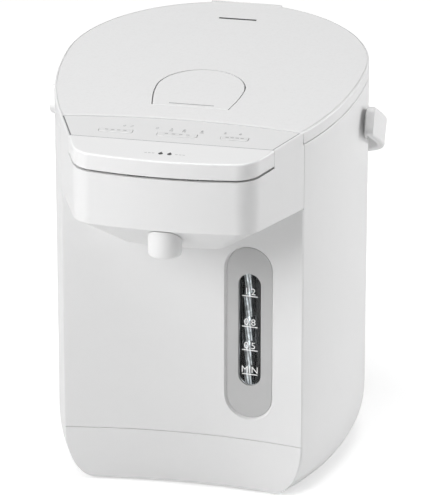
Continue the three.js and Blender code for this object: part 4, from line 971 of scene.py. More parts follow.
def make_front_panel():
    low = BAND_HEIGHT + SEAM_GAP
    levels = [low, low + 1, HEAD_BOTTOM - SEAM_GAP]
    panel = skin("hollowed_panel", [face_ring(z) for z in levels])
    sections = ((GAP, WALL + OVERRUN), (GAP, BEZEL_SINK + GAP), (GAP + BEZEL_CHAMFER * 2, -OVERRUN))
    carve(panel, skin("opening", [bezel_ring(grow, depth) for grow, depth in sections]))
    return dress(panel, "front_panel", width=0.35)


def make_base_band():
    steps = 14
    share = math.acos(1 - BAND_HEIGHT / FILLET_HEIGHT)
    levels = [FILLET_HEIGHT * (1 - math.cos(share * i / steps)) for i in range(steps + 1)]
    return dress(skin("base_band_face", [face_ring(z) for z in levels]), "base_band", width=0.35)


# Lid: a flat skin with a rim, the flap opening, the steam slot and the hinge lug
def lid_ring(inset, depth, front_inset=None):
    offset = GAP / 2 + LID_LEAN * depth + (inset if front_inset is None else front_inset)
    return ring_at(body_outline(inset, hollow(LID_SAG, offset)), below(depth))


def make_lug():
    """The hump at the back of the lid that holds the hinge pin: round below and at its rear."""
    sink = GAP / 3
    top = top_at(HINGE_Y) - sink
    low_steps, rear_steps = 24, 8
    outline = []
    for i in range(low_steps + 1):
        angle = math.pi + math.pi * i / low_steps
        outline.append((HINGE_Y + LUG_RADIUS * math.cos(angle), HINGE_HEIGHT + LUG_RADIUS * math.sin(angle)))
    outline.append((HINGE_Y + LUG_RADIUS, top_at(HINGE_Y) - LUG_REAR_DROP))
    for i in range(rear_steps + 1):
        angle = math.pi / 2 * i / rear_steps
        outline.append((HINGE_Y + LUG_RADIUS * math.cos(angle), top - LUG_TOP_ROUND * (1 - math.sin(angle))))
    outline.append((HINGE_Y - LUG_RADIUS, top_at(HINGE_Y - LUG_RADIUS) - sink))
    return skin("lug", [[(x, y, z) for y, z in outline] for x in (-LUG_HALF, LUG_HALF)])


def make_lid_groove():
    """The fine line between the lid's flat top and its rim, from one front corner round to the other."""
    beyond = hollow(LID_SAG, -GAP)
    outer = wall_path(LID_GROOVE_START, beyond)
    inner = wall_path(LID_GROOVE_START + LID_GROOVE, beyond)
    floor, above = below(LID_GROOVE_DEPTH), below(-OVERRUN)
    rings = [ring_at(pair, floor) + ring_at(pair[::-1], above) for pair in zip(outer, inner)]
    return skin("lid_groove", rings)


def make_lid_cover():
    rings = [lid_ring(WALL, LID_THICKNESS), lid_ring(WALL, RIM_HEIGHT), lid_ring(LID_FOOT_EDGE, RIM_HEIGHT)]
    rings.append(lid_ring(0, RIM_HEIGHT - LID_FOOT_EDGE))
    rings += [lid_ring(inset, drop, inset * 0.5) for inset, drop in edge_round(LID_EDGE)]
    lid = skin("lid_skin", rings)
    carve(lid, make_lid_groove())
    carve(lid, make_lug(), operation="UNION")
    room = BRACKET_HALF + RUNNING_GAP
    knuckle = KNUCKLE_RADIUS + RUNNING_GAP
    under = below(LID_THICKNESS + OVERRUN)
    opening = prism("opening", flap_outline(FLAP_GROOVE / 2), under, below(-OVERRUN))
    slot_x, slot_y = STEAM_SLOT_WIDTH / 2, STEAM_SLOT_GAP / 2
    carve(
        lid,
        axle(knuckle, HINGE_Y, HINGE_HEIGHT, -room, room),
        block(-room, room, HINGE_Y - LUG_RADIUS * 2, HINGE_Y, 0, HINGE_HEIGHT + knuckle),
        block(-room, room, HINGE_Y - GAP, HINGE_Y + LUG_RADIUS * 2, 0, HINGE_HEIGHT),
        axle(HINGE_PIN_RADIUS + PIVOT_GAP, HINGE_Y, HINGE_HEIGHT, -FAR, FAR),
        opening,
        block(-slot_x, slot_x, STEAM_SLOT_Y - slot_y, STEAM_SLOT_Y + slot_y, under, FAR),
    )
    return dress(lid, "lid_cover", width=0.3)


def make_lid_release():
    """The flap: an arch-shaped plate."""
    inset = FLAP_GROOVE / 2
    rings = [ring_at(flap_outline(-inset), below(FLAP_THICKNESS))]
    rings += [ring_at(flap_outline(-inset - drawn), below(drop)) for drawn, drop in edge_round(FLAP_EDGE, 3)]
    return dress(skin("lid_flap", rings), "lid_release", width=0.15)


# Head housing: a hood with a roof under the panel and a lower one under the key
def head_column(inset, limit, low, high):
    return prism("column", head_outline(inset, limit), low, high)


def key_x(key):
    return key["x_share"] * (CORNER_X - FILM_INSET)


def key_outline(key, margin, radius):
    """A panel key's outline, grown by a margin."""
    half_x, half_y = key["width"] / 2 + margin, PANEL_KEY_DEEP / 2 + margin
    return rounded_rectangle(half_x, half_y, radius, key_x(key), key["y"])


def stem_block(side, margin, low, high):
    outline = key_outline(PANEL_KEYS[side], margin, max(PANEL_KEY_CORNER + margin, FINE_EDGE))
    return prism("stem", outline, low, high)


def make_head_housing():
    back = hollow(PANEL_SAG, SEAM_DEPTH)
    edge = edge_round(HEAD_EDGE)
    rings = [ring_at(head_outline(inset, back), HEAD_BOTTOM + drop) for inset, drop in edge[::-1]]
    rings += [ring_at(head_outline(inset, back), below(drop)) for inset, drop in edge]
    head = skin("hood", rings)
    above = below(-OVERRUN)
    behind = hollow(LID_SAG, -GAP / 2)
    reach = FAR / 3
    xs = [-reach + 2 * reach * i / FRONT_STATIONS for i in range(FRONT_STATIONS + 1)]
    lid_room = [(x, behind(x)) for x in xs] + [(reach, WIDEST_Y), (-reach, WIDEST_Y)]
    lid_cut = prism("lid_room", lid_room, below(RIM_HEIGHT + GAP), above)
    film_back = hollow(LID_SAG, -FILM_REAR_GAP)
    recess_depth = FILM_SINK + FILM_THICKNESS + GAP
    roof_low = recess_depth + ROOF_THICKNESS
    open_back = straight(HOOD_OPEN_Y)
    recess = head_column(FILM_RIM, film_back, below(recess_depth), above)
    upper = head_column(WALL, open_back, HEAD_BOTTOM - OVERRUN, below(roof_low))
    key_side = block(-FAR, FAR, -FAR, KEY_LINE_Y - KEY_WALL, -FAR, FAR)
    carve(upper, key_side)
    lower = head_column(WALL, open_back, HEAD_BOTTOM - OVERRUN, below(KEY_ROOF_DEPTH + ROOF_THICKNESS))
    well = head_column(WALL, straight(KEY_LINE_Y), below(KEY_ROOF_DEPTH), above)
    key_zone = block(-FAR, FAR, -FAR, KEY_LINE_Y, below(KEY_LIP + KEY_SHADOW_GAP), FAR)
    stem_low = below(roof_low + OVERRUN)
    stems = [stem_block(side, PANEL_STEM_MARGIN / 2, stem_low, above) for side in PANEL_KEYS]
    carve(head, lid_cut, key_zone, recess, upper, lower, well, *stems)
    return dress(head, "head_housing", width=0.3)


def make_control_panel():
    back = hollow(LID_SAG, -FILM_REAR_GAP - GAP)
    inset = FILM_RIM + GAP
    rings = [ring_at(head_outline(inset, back), below(FILM_SINK + FILM_THICKNESS))]
    for drawn, drop in edge_round(FINE_EDGE, 3):
        rings.append(ring_at(head_outline(inset + drawn, back), below(FILM_SINK + drop)))
    film = skin("control_film", rings)
    front = block(-FAR, FAR, -FAR, KEY_LINE_Y + GAP, -FAR, FAR)
    holes = [stem_block(side, GAP, -FAR, FAR) for side in PANEL_KEYS]
    carve(film, front, *holes)
    return dress(film, "control_panel", width=0.15, material=FILM_WHITE)


def make_panel_keys():
    """Each key: a stem that reaches down to its switch, and a cap a little above the film."""
    stem_low = below(SWITCH_TOP_DEPTH - PANEL_KEY_TRAVEL - GAP)
    cap_low = below(FILM_SINK + FILM_THICKNESS - PANEL_KEY_TRAVEL)
    for side, key in PANEL_KEYS.items():
        stem = key_outline(key, PANEL_STEM_MARGIN, PANEL_STEM_CORNER)
        cap = key_outline(key, 0, PANEL_KEY_CORNER)
        rings = [ring_at(stem, stem_low), ring_at(stem, cap_low), ring_at(cap, cap_low)]
        for drawn, drop in edge_round(FINE_EDGE, 3):
            outline = key_outline(key, -drawn, PANEL_KEY_CORNER - drawn)
            rings.append(ring_at(outline, below(FILM_SINK - PANEL_KEY_RAISE + drop)))
        dress(skin(f"{side}_key_cap", rings), f"panel_key_{side}", width=0, material=FILM_WHITE)


def make_dispense_key():
    """The wide key: soft front and side edges, a deep lip, and a crisp rear edge."""
    back = straight(KEY_LINE_Y - GAP)
    sections = [(FINE_EDGE, KEY_LIP), (0, KEY_LIP - FINE_EDGE)] + edge_round(KEY_EDGE, 8)
    key = skin("pouring_key", [ring_at(head_outline(inset, back), below(drop)) for inset, drop in sections])
    carve(key, head_column(KEY_WALL, straight(0), below(KEY_LIP + OVERRUN), below(KEY_THICKNESS)))
    pin_height = top_at(KEY_PIN_Y) - KEY_PIN_DEPTH
    front, rear = KEY_PIN_Y - KEY_EAR_REACH, KEY_PIN_Y + KEY_EAR_REACH
    low, high = pin_height - KEY_EAR_REACH, below(KEY_THICKNESS / 2)
    ears = [
        block(side * KEY_EAR_X - KEY_EAR_HALF, side * KEY_EAR_X + KEY_EAR_HALF, front, rear, low, high)
        for side in (-1, 1)
    ]
    carve(key, *ears, operation="UNION")
    reach = KEY_EAR_X + KEY_EAR_HALF + GAP
    carve(key, axle(KEY_PIN_RADIUS + PIVOT_GAP, KEY_PIN_Y, pin_height, -reach, reach))
    return dress(key, "dispense_key", width=0.15)


# Chin cover: a funnel between the head's lower edge and a smaller copy of its outline
def chin_ring(share, drawn_in, raised, limit):
    """The funnel's section, from 0 at its lower edge to 1 at the head."""
    scale = CHIN_SHARE + (1 - CHIN_SHARE) * share
    middle = PANEL_SAG + WALL
    head = moved_in(HEAD_LINE, CHIN_INSET + drawn_in)
    line = [(x * scale, middle + (y - middle) * scale) for x, y in head]
    z = CHIN_BOTTOM + (HEAD_BOTTOM - GAP - CHIN_BOTTOM) * share + raised
    return ring_at(closed_along(resampled(clipped(line, limit), HEAD_STATIONS), limit), z)


def make_chin_cover():
    limit = hollow(PANEL_SAG, -GAP)
    chin = skin("chin_funnel", [chin_ring(share, 0, 0, limit) for share in (0, 1)])
    past = hollow(PANEL_SAG, WALL * 2)
    inner = skin("inner", [chin_ring(share, WALL, WALL, past) for share in (0, 1)])
    carve(chin, inner, prism("pipe_hole", circle(PIPE_HOLE_RADIUS, 0, SPOUT_Y, 48), 0, FAR))
    return dress(chin, "chin_cover", width=0.5)


def make_nozzle_sleeve():
    bottom = HEAD_BOTTOM - SLEEVE_DROP
    top = HEAD_BOTTOM - GAP * 2
    profile = [
        (SLEEVE_BORE, top),
        (SLEEVE_BORE, bottom + SLEEVE_CHAMFER),
        (SLEEVE_BORE + SLEEVE_CHAMFER, bottom),
    ]
    profile += [(SLEEVE_RADIUS - inset, bottom + drop) for inset, drop in edge_round(SLEEVE_ROUND, 8)[::-1]]
    profile.append((SLEEVE_RADIUS, top))
    sleeve = turned("nozzle", profile, 0, SPOUT_Y)
    limit = straight(HOOD_OPEN_Y)
    chin = skin("chin", [chin_ring(share, -GAP, -GAP, limit) for share in (0, 1)])
    carve(sleeve, chin)
    return dress(sleeve, "nozzle_sleeve", width=0)


# Level gauge: plate, window, tube and the marks on the window
def make_level_bezel():
    """The plate: its outer side and its rim, then the opening with a rounded edge."""
    back = BEZEL_SINK + BEZEL_THICKNESS
    fit = GAP - PIVOT_GAP
    outer = ((fit, back), (fit, BEZEL_SINK + FINE_EDGE), (fit - FINE_EDGE, BEZEL_SINK))
    inner = ((0.7, BEZEL_SINK), (0.2, BEZEL_SINK + 0.2), (0, BEZEL_SINK + 0.7), (0, back))
    rings = [bezel_ring(grow, depth) for grow, depth in outer]
    rings += [window_ring(grow, depth) for grow, depth in inner]
    return dress(skin("gauge_plate", rings, closed=True), "level_bezel", width=0)


def make_level_window():
    near = BEZEL_SINK + WINDOW_SINK
    rings = [window_ring(-GAP, depth) for depth in (near + WINDOW_THICKNESS, near)]
    return dress(skin("gauge_window", rings), "level_window", width=0.1)


def make_level_tube():
    low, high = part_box("level_tube")
    x = (low.x + high.x) / 2 / MM
    y = (low.y + high.y) / 2 / MM + ORIGIN_Y
    z_low, z_high = low.z / MM - FOOT_DROP, high.z / MM - FOOT_DROP
    profile = [(TUBE_BORE, z_low), (TUBE_RADIUS, z_low), (TUBE_RADIUS, z_high), (TUBE_BORE, z_high)]
    glass = glass_with_painted_glints("tube_glass", (0.95, 0.97, 0.98), ior=1.5, wave=0.004, centre_x=x * MM)
    return dress(turned("gauge_tube", profile, x, y, 64), "level_tube", width=0, material=glass)


SCALE_MARKS = (("1.2", 138.0), ("0.8", 116.3), ("0.5", 99.6), ("MIN", 82.4))
SCALE_TICK_HALF = 5.4
SCALE_TICK_WIDTH = 0.65
SCALE_TEXT_SIZE = 6.6
SCALE_TEXT_RAISE = 1.1
MARK_HEIGHT = 0.04


def text_mesh(words, size):
    """Plain lettering as a flat mesh in its own X and Y, centred, in millimetres."""
    curve = bpy.data.curves.new("figure", "FONT")
    curve.body = words
    curve.size = size
    curve.align_x = "CENTER"
    item = add_object("figure", curve)
    graph = bpy.context.evaluated_depsgraph_get()
    mesh = bpy.data.meshes.new_from_object(item.evaluated_get(graph), depsgraph=graph)
    bpy.data.objects.remove(item)
    return mesh


def placed_marks(name, parts):
    """Joins flat marks into one object. Each part is a mesh and a function from its X and Y to a point."""
    joined = bmesh.new()
    for mesh, spot in parts:
        part = bmesh.new()
        part.from_mesh(mesh)
        lookup = {}
        for vert in part.verts:
            lookup[vert] = joined.verts.new(place(*spot(vert.co.x, vert.co.y)))
        for face in part.faces:
            joined.faces.new([lookup[vert] for vert in face.verts])
        part.free()
        bpy.data.meshes.remove(mesh)
    mesh = bpy.data.meshes.new(name)
    joined.to_mesh(mesh)
    joined.free()
    return add_object(name, mesh)


def flat_mesh(name, points):
    """One flat face in its own X and Y."""
    mesh = bpy.data.meshes.new(name)
    mesh.from_pydata([(x, y, 0) for x, y in points], [], [tuple(range(len(points)))])
    return mesh


def bar_mesh(width, height):
    x, y = width / 2, height / 2
    return flat_mesh("bar", [(-x, -y), (x, -y), (x, y), (-x, y)])


def make_scale_marks():
    """Lines and plain figures printed on the face of the window."""
    depth = BEZEL_SINK + WINDOW_SINK - MARK_HEIGHT

    def on_window(height):
        return lambda across, up: on_gauge(across, depth, height + up)

    parts = []
    for words, z in SCALE_MARKS:
        parts.append((bar_mesh(SCALE_TICK_HALF * 2, SCALE_TICK_WIDTH), on_window(z)))
        parts.append((text_mesh(words, SCALE_TEXT_SIZE), on_window(z + SCALE_TEXT_RAISE)))
    add_to("level_window", placed_marks("scale_marks", parts), WHITE_INK)


# Marks on the control film, its keys and the pouring key
PATCH_GREY = ink("patch_grey", (0.63, 0.63, 0.63))
SEAM_GREY = ink("seam_grey", (0.22, 0.22, 0.23))
SEAM_INK_WIDTH = 0.8
SEAM_INK_MARGIN = 0.05
SCORE_HALF = 15
LAMP_GREY = ink("lamp_grey", (0.5, 0.5, 0.51))
LAMP_SPOTS = (-35, -30, -13.3, -4.1, 4.3, 15.9, 31, 41)
LAMP_Y = -8
LAMP_RADIUS = 0.7
FIGURES = (("98", -4.1), ("90", 4.3), ("70", 15.9))
FIGURE_Y = -12.2
FIGURE_SIZE = 2.6
KEY_MARK_Y = -46.8
DROP_SIZE = 2.7
DROP_SHARE = 0.55
DROP_SPOTS = (-2.7, 3.1)
DASH_START = 7.6
DASH_LENGTH = 1.7
DASH_GAP = 0.7
DASH_WIDTH = 0.5
KEY_DASHES = 4
KEY_DASH_LENGTH = DASH_LENGTH * 1.3
KEY_DASH_WIDTH = DASH_WIDTH * 1.6
PATCH_MARGIN = 0.8


def on_top(centre_x, centre_y, depth):
    """From a mark's own X and Y to the sloping top."""
    return lambda x, y: (centre_x + x, centre_y + y, top_at(centre_y + y) - depth + MARK_HEIGHT)


def disc_mesh(radius):
    return flat_mesh("disc", circle(radius, 0, 0, 20))


def drop_mesh(size):
    """A plain water drop: most of a circle, and a point above it."""
    sides = 20
    radius = size * DROP_SHARE
    points = [(0, size)]
    for i in range(sides + 1):
        angle = math.radians(330 - 300 * i / sides)
        points.append((radius * math.sin(angle), radius * math.cos(angle)))
    return flat_mesh("drop", points)


def make_panel_marks():
    """Lamps and plain temperatures on the film, and a pale patch with dashes on each key."""
    lamps = [(disc_mesh(LAMP_RADIUS), on_top(x, LAMP_Y, FILM_SINK)) for x in LAMP_SPOTS]
    add_to("control_panel", placed_marks("panel_lamps", lamps), LAMP_GREY)
    figures = [(text_mesh(words, FIGURE_SIZE), on_top(x, FIGURE_Y, FILM_SINK)) for words, x in FIGURES]
    add_to("control_panel", placed_marks("panel_figures", figures), GREY_INK)
    raised = FILM_SINK - PANEL_KEY_RAISE
    for side, key in PANEL_KEYS.items():
        x, y = key_x(key), key["y"]
        node = f"panel_key_{side}"
        patch = bar_mesh(key["width"] - PATCH_MARGIN * 2, PANEL_KEY_DEEP - PATCH_MARGIN * 2)
        add_to(node, placed_marks(f"patch_{side}", [(patch, on_top(x, y, raised))]), PATCH_GREY)
        pitch = key["width"] / (KEY_DASHES + 1.5)
        dashes = []
        for i in range(KEY_DASHES):
            spot = on_top(x + (i - (KEY_DASHES - 1) / 2) * pitch, y, raised - MARK_HEIGHT)
            dashes.append((bar_mesh(KEY_DASH_LENGTH, KEY_DASH_WIDTH), spot))
        add_to(node, placed_marks(f"dashes_{side}", dashes), GREY_INK)


def seam_strip(name, line, depth, node):
    """A narrow grey line along a seam on the sloping top."""
    inner = moved_in(line, SEAM_INK_WIDTH)
    count = len(line)
    points = [(x, y, top_at(y) - depth + MARK_HEIGHT) for x, y in line + inner]
    faces = [(i, i + 1, count + i + 1, count + i) for i in range(count - 1)]
    add_to(node, make_piece(name, points, faces), SEAM_GREY)


def make_seam_lines():
    """The dark edge of the film at its front and sides, and the flap's bending line."""
    inset = FILM_RIM + GAP + SEAM_INK_MARGIN
    line = clipped(moved_in(HEAD_LINE, inset), hollow(LID_SAG, -FILM_REAR_GAP - GAP - FINE_EDGE))
    front_y = KEY_LINE_Y + GAP + SEAM_INK_MARGIN
    left = [point for point in line[:len(line) // 2] if point[1] > front_y]
    right = [point for point in line[len(line) // 2:] if point[1] > front_y]

    def end_at(inside, outside):
        share = (inside[1] - front_y) / (inside[1] - outside[1])
        return inside[0] + (outside[0] - inside[0]) * share, front_y

    left_end = end_at(left[-1], line[len(left)])
    right_end = end_at(right[0], line[len(line) - len(right) - 1])
    seam_strip("film_edge", left + [left_end, right_end] + right, FILM_SINK, "control_panel")
    seam_strip("flap_line", [(-SCORE_HALF, FLAP_HINGE_Y), (SCORE_HALF, FLAP_HINGE_Y)], 0, "lid_release")


def make_pouring_mark():
    """Two drops between two rows of dashes on the pouring key."""
    drops = [(drop_mesh(DROP_SIZE), on_top(x, KEY_MARK_Y, 0)) for x in DROP_SPOTS]
    add_to("dispense_key", placed_marks("pouring_drops", drops), DARK_INK)
    marks = []
    for side in (-1, 1):
        for i in range(3):
            x = side * (DASH_START + i * (DASH_LENGTH + DASH_GAP))
            marks.append((bar_mesh(DASH_LENGTH, DASH_WIDTH), on_top(x, KEY_MARK_Y, 0)))
    add_to("dispense_key", placed_marks("pouring_mark", marks), GREY_INK)


def make_steam_slot_shade():
    """Painted shade: a dark plate just below the lid's top, standing in for the shade deep in the steam slot.
    """
    x = STEAM_SLOT_WIDTH / 2 - GAP / 3
    y = STEAM_SLOT_GAP / 2 - GAP / 3
    outline = [(-x, STEAM_SLOT_Y - y), (x, STEAM_SLOT_Y - y), (x, STEAM_SLOT_Y + y), (-x, STEAM_SLOT_Y + y)]
    shade_plate = prism("steam_slot_shade", outline, below(STEAM_SHADE_FOOT), below(STEAM_SHADE_DEPTH))
    # The dark plastic here is painted shade, not a part of the pot.
    add_to("lid_cover", shade_plate, MATERIALS["dark_plastic"])


# Coil springs: a wire swept along a spiral by nodes, in metres
SPRING_WIRE = 0.00045


def spring_nodes():
    """Nodes that sweep a round wire along an upright coil of any size."""
    tree = bpy.data.node_groups.new("coil_spring", "GeometryNodeTree")
    names = (("Turns", 6.0), ("Radius", 0.003), ("Height", 0.01), ("Wire", 0.0004))
    for label, value in names:
        socket = tree.interface.new_socket(label, in_out="INPUT", socket_type="NodeSocketFloat")
        socket.default_value = value
    tree.interface.new_socket("Material", in_out="INPUT", socket_type="NodeSocketMaterial")
    tree.interface.new_socket("Geometry", in_out="OUTPUT", socket_type="NodeSocketGeometry")
    entry = tree.nodes.new("NodeGroupInput")
    spiral = tree.nodes.new("GeometryNodeCurveSpiral")
    spiral.inputs["Resolution"].default_value = 28
    for label in ("Start Radius", "End Radius"):
        tree.links.new(entry.outputs["Radius"], spiral.inputs[label])
    tree.links.new(entry.outputs["Turns"], spiral.inputs["Rotations"])
    tree.links.new(entry.outputs["Height"], spiral.inputs["Height"])
    ring = tree.nodes.new("GeometryNodeCurvePrimitiveCircle")
    ring.inputs["Resolution"].default_value = 10
    tree.links.new(entry.outputs["Wire"], ring.inputs["Radius"])
    sweep = tree.nodes.new("GeometryNodeCurveToMesh")
    sweep.inputs["Fill Caps"].default_value = True
    tree.links.new(spiral.outputs["Curve"], sweep.inputs["Curve"])
    tree.links.new(ring.outputs["Curve"], sweep.inputs["Profile Curve"])
    real = tree.nodes.new("GeometryNodeRealizeInstances")
    tree.links.new(sweep.outputs["Mesh"], real.inputs["Geometry"])
    finish = tree.nodes.new("GeometryNodeSetMaterial")
    tree.links.new(real.outputs["Geometry"], finish.inputs["Geometry"])
    tree.links.new(entry.outputs["Material"], finish.inputs["Material"])
    leave = tree.nodes.new("NodeGroupOutput")
    tree.links.new(finish.outputs["Geometry"], leave.inputs["Geometry"])
    return tree


def make_spring(node, tree, turns):
    """A coil in place of the CAD spring, sized to fill its box."""
    low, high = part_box(node)
    margin = SPRING_WIRE * 1.05
    values = {
        "Turns": float(turns),
        "Radius": min(high.x - low.x, high.y - low.y) / 2 - margin,
        "Height": high.z - low.z - margin * 2,
        "Wire": SPRING_WIRE,
        "Material": MATERIALS[slot_of[node]],
    }
    # The nodes put the coil in the place of this small triangle.
    triangle = [(0, 0, 0), (MM, 0, 0), (0, MM, 0)]
    piece = make_piece(f"{node}_coil", triangle, [(0, 1, 2)], placed=False)
    coil = piece.modifiers.new("coil", "NODES")
    coil.node_group = tree
    for item in tree.interface.items_tree:
        if item.in_out == "INPUT" and item.name in values:
            coil[item.identifier] = values[item.name]
    bake(piece)
    foot = ((low.x + high.x) / 2, (low.y + high.y) / 2, low.z + margin)
    piece.data.transform(Matrix.Translation(foot))
    piece.data.shade_smooth()
    piece.data.materials.clear()
    piece.data.materials.append(MATERIALS[slot_of[node]])
    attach(piece, body_of[node])
    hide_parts(node)
    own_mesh(piece)


# Bail: a band bent round the back of the pot, with rounded ends
def bail_place(x, y, z):
    """From the bail's own frame, level and centred on its pivot, to the design."""
    turned_y = y * math.cos(BAIL_TILT) + z * math.sin(BAIL_TILT)
    turned_z = -y * math.sin(BAIL_TILT) + z * math.cos(BAIL_TILT)
    return x, WIDEST_Y + turned_y, BAIL_HEIGHT + turned_z


def bail_line():
    """The middle of the band in plan, from its right front end round the back to the left one."""
    half = BAIL_HALF + BAIL_THICKNESS / 2
    arm = BAIL_ARM + BAIL_THICKNESS / 2
    power = 2 / BAIL_SQUARENESS
    right = []
    end_steps = 14
    for i in range(end_steps):
        angle = math.pi / 2 * i / end_steps
        right.append((half, BAIL_END_Y - BAIL_END_RADIUS * math.cos(angle)))
    right += [(half, BAIL_END_Y), (half, BAIL_END_Y / 2)]
    curve = []
    steps = 110
    for i in range(steps + 1):
        angle = math.pi * i / steps
        across = math.copysign(abs(math.cos(angle)) ** power, math.cos(angle))
        curve.append((half * across, arm * abs(math.sin(angle)) ** power))
    return right + curve + [(-x, y) for x, y in right[::-1]]


def make_carry_handle():
    line = bail_line()
    flat = BAIL_BAND / 2 - BAIL_END_RADIUS
    rings = []
    for i, (x, y) in enumerate(line):
        before = line[max(i - 1, 0)]
        after = line[min(i + 1, len(line) - 1)]
        along = Vector((after[0] - before[0], after[1] - before[1])).normalized()
        out = Vector((along.y, -along.x))
        short = max(BAIL_END_Y - y, 0)
        half_height = flat + math.sqrt(max(BAIL_END_RADIUS ** 2 - short ** 2, 0.01))
        ring = []
        for across, up in rounded_rectangle(BAIL_THICKNESS / 2, half_height, BAIL_EDGE, steps=5):
            ring.append(bail_place(x + out.x * across, y + out.y * across, up))
        rings.append(ring)
    bail = skin("bail_band", rings)
    studs = []
    tip = BODY_HALF - WALL * 2
    for side in (-1, 1):
        ring = circle(BAIL_STUD_RADIUS, 0, 0, 48)
        xs = (side * tip, side * (BAIL_HALF + BAIL_THICKNESS / 2))
        studs.append(skin("stud", [[bail_place(x, y, z) for y, z in ring] for x in xs]))
    carve(bail, *studs, operation="UNION")
    return dress(bail, "carry_handle", width=0)


def make_handle_bosses():
    """Each boss: turned about the bail's pivot, with a stub that reaches into the shell."""
    face = BAIL_HALF - RUNNING_GAP - GAP
    bore = BAIL_STUD_RADIUS + PIVOT_GAP
    shoulder, tail = BODY_HALF + GAP, BODY_HALF - WALL * 3
    profile = [(bore, face - FINE_EDGE), (bore + FINE_EDGE, face)]
    profile += [(BOSS_RADIUS - inset, face - drop) for inset, drop in edge_round(BOSS_EDGE)[::-1]]
    profile += [(BOSS_RADIUS, shoulder), (BOSS_STUB_RADIUS, shoulder), (BOSS_STUB_RADIUS, tail), (bore, tail)]
    sides = 72
    for name, side in (("right", 1), ("left", -1)):
        rings = []
        for i in range(sides):
            y, z = math.cos(2 * math.pi * i / sides), math.sin(2 * math.pi * i / sides)
            rings.append([(side * x, WIDEST_Y + r * y, BAIL_HEIGHT + r * z) for r, x in profile])
        dress(skin(f"bail_boss_{name}", rings, closed=True), f"handle_boss_{name}", width=0)


# CAD nodes whose shape is right: their own finish, welded and smoothed
def finish_node(name, node):
    node.data.materials.clear()
    node.data.materials.append(MATERIALS[slot_of[name]])
    weld = node.modifiers.new("weld", "WELD")
    weld.merge_threshold = 1e-6
    split = node.modifiers.new("split", "EDGE_SPLIT")
    split.split_angle = SHARP_ANGLE
    normals = node.modifiers.new("normals", "WEIGHTED_NORMAL")
    normals.weight = NORMAL_WEIGHT


# Camera, light and floor
CAMERA_TURN = math.radians(12.459)
CAMERA_RISE = math.radians(21.523)
CAMERA_TARGET = (10.693, 60.0, 149.315)
CAMERA_DISTANCE = 2657.6
CAMERA_LENS = 289.583
TARGET = Vector(place(*CAMERA_TARGET))


def outward(turn, rise):
    """The direction from the target to a camera or lamp: turned to the right of the front, and raised."""
    return Vector((math.sin(turn) * math.cos(rise), -math.cos(turn) * math.cos(rise), math.sin(rise)))


def make_camera():
    data = bpy.data.cameras.new("camera")
    data.sensor_width = 36
    data.lens = CAMERA_LENS
    data.clip_end = 50
    camera = add_object("camera", data)
    back = outward(CAMERA_TURN, CAMERA_RISE)
    right = Vector((math.cos(CAMERA_TURN), math.sin(CAMERA_TURN), 0))
    up = back.cross(right)
    aim = Matrix((right, up, back)).transposed().to_4x4()
    camera.matrix_world = Matrix.Translation(TARGET + back * CAMERA_DISTANCE * MM) @ aim
    bpy.context.scene.camera = camera


def make_lamp(name, turn, rise, distance, size, level):
    """A soft square lamp aimed at the target, at angles in degrees and a distance and size in metres."""
    data = bpy.data.lights.new(name, "AREA")
    data.shape = "SQUARE"
    data.size = size
    # At level 1 a matt face turned to the lamp shows its colour as it is written.
    data.energy = level * math.pi ** 2 * distance ** 2
    lamp = add_object(name, data)
    back = outward(math.radians(turn), math.radians(rise))
    aim = back.to_track_quat("Z", "Y").to_matrix().to_4x4()
    lamp.matrix_world = Matrix.Translation(TARGET + back * distance) @ aim


AMBIENT = 0.11


def make_world():
    """White where the camera sees it, and a low even light on everything else."""
    world = bpy.data.worlds.new("studio")
    bpy.context.scene.world = world
    world.use_nodes = True
    tree = world.node_tree
    tree.nodes.clear()
    path = tree.nodes.new("ShaderNodeLightPath")
    plain = tree.nodes.new("ShaderNodeBackground")
    plain.inputs["Color"].default_value = (1, 1, 1, 1)
    plain.inputs["Strength"].default_value = AMBIENT
    white = tree.nodes.new("ShaderNodeBackground")
    white.inputs["Color"].default_value = (1, 1, 1, 1)
    white.inputs["Strength"].default_value = 1
    mix = tree.nodes.new("ShaderNodeMixShader")
    output = tree.nodes.new("ShaderNodeOutputWorld")
    tree.links.new(path.outputs["Is Camera Ray"], mix.inputs["Fac"])
    tree.links.new(plain.outputs[0], mix.inputs[1])
    tree.links.new(white.outputs[0], mix.inputs[2])
    tree.links.new(mix.outputs[0], output.inputs["Surface"])


FLOOR_HALF = 9000
FLOOR_LIFT = 0.45


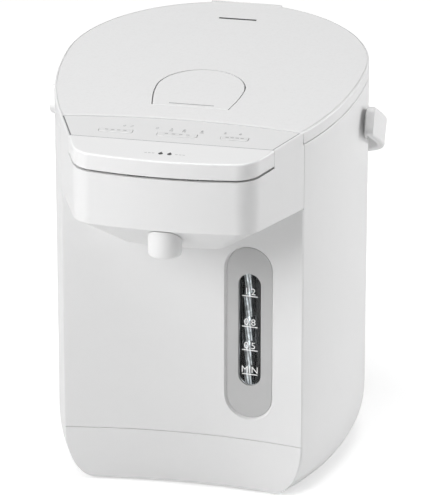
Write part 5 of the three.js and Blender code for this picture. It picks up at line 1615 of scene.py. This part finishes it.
def make_floor():
    """A matt floor that catches the shadow. The camera sees it lifted towards the white behind."""
    far = FLOOR_HALF
    corners = ring_at([(-far, -far), (far, -far), (far, far), (-far, far)], -FOOT_DROP)
    floor = make_piece("floor", corners, [(0, 1, 2, 3)])
    material = bpy.data.materials.new("floor_white")
    material.use_nodes = True
    tree = material.node_tree
    shader = tree.nodes["Principled BSDF"]
    shader.inputs["Base Color"].default_value = (0.8, 0.8, 0.8, 1)
    shader.inputs["Roughness"].default_value = 0.9
    shader.inputs["Specular IOR Level"].default_value = 0
    path = tree.nodes.new("ShaderNodeLightPath")
    lift = tree.nodes.new("ShaderNodeEmission")
    lift.inputs["Color"].default_value = (1, 1, 1, 1)
    seen = arithmetic(tree, "MULTIPLY", path.outputs["Is Camera Ray"], FLOOR_LIFT)
    tree.links.new(seen, lift.inputs["Strength"])
    add = tree.nodes.new("ShaderNodeAddShader")
    tree.links.new(shader.outputs[0], add.inputs[0])
    tree.links.new(lift.outputs[0], add.inputs[1])
    tree.links.new(add.outputs[0], tree.nodes["Material Output"].inputs["Surface"])
    floor.data.materials.append(material)


make_camera()
make_world()
make_floor()
make_lamp("key_lamp", turn=-44, rise=26, distance=2.4, size=1.3, level=0.7)
make_lamp("side_lamp", turn=118, rise=8, distance=2.4, size=1.2, level=0.67)
make_lamp("top_lamp", turn=0, rise=82, distance=2.6, size=1.5, level=0.64)

make_outer_shell()
make_front_panel()
make_base_band()
make_lid_cover()
make_lid_release()
make_head_housing()
make_control_panel()
make_panel_keys()
make_dispense_key()
make_chin_cover()
make_nozzle_sleeve()
make_level_bezel()
make_level_window()
make_level_tube()
make_scale_marks()
make_panel_marks()
make_seam_lines()
make_pouring_mark()
make_steam_slot_shade()
coil_tree = spring_nodes()
make_spring("key_spring", coil_tree, 6)
make_spring("release_spring", coil_tree, 4)
make_carry_handle()
make_handle_bosses()

for name, node in frame["nodes"].items():
    if not node.hide_render:
        finish_node(name, node)

scene = bpy.context.scene
scene.view_settings.view_transform = "Standard"
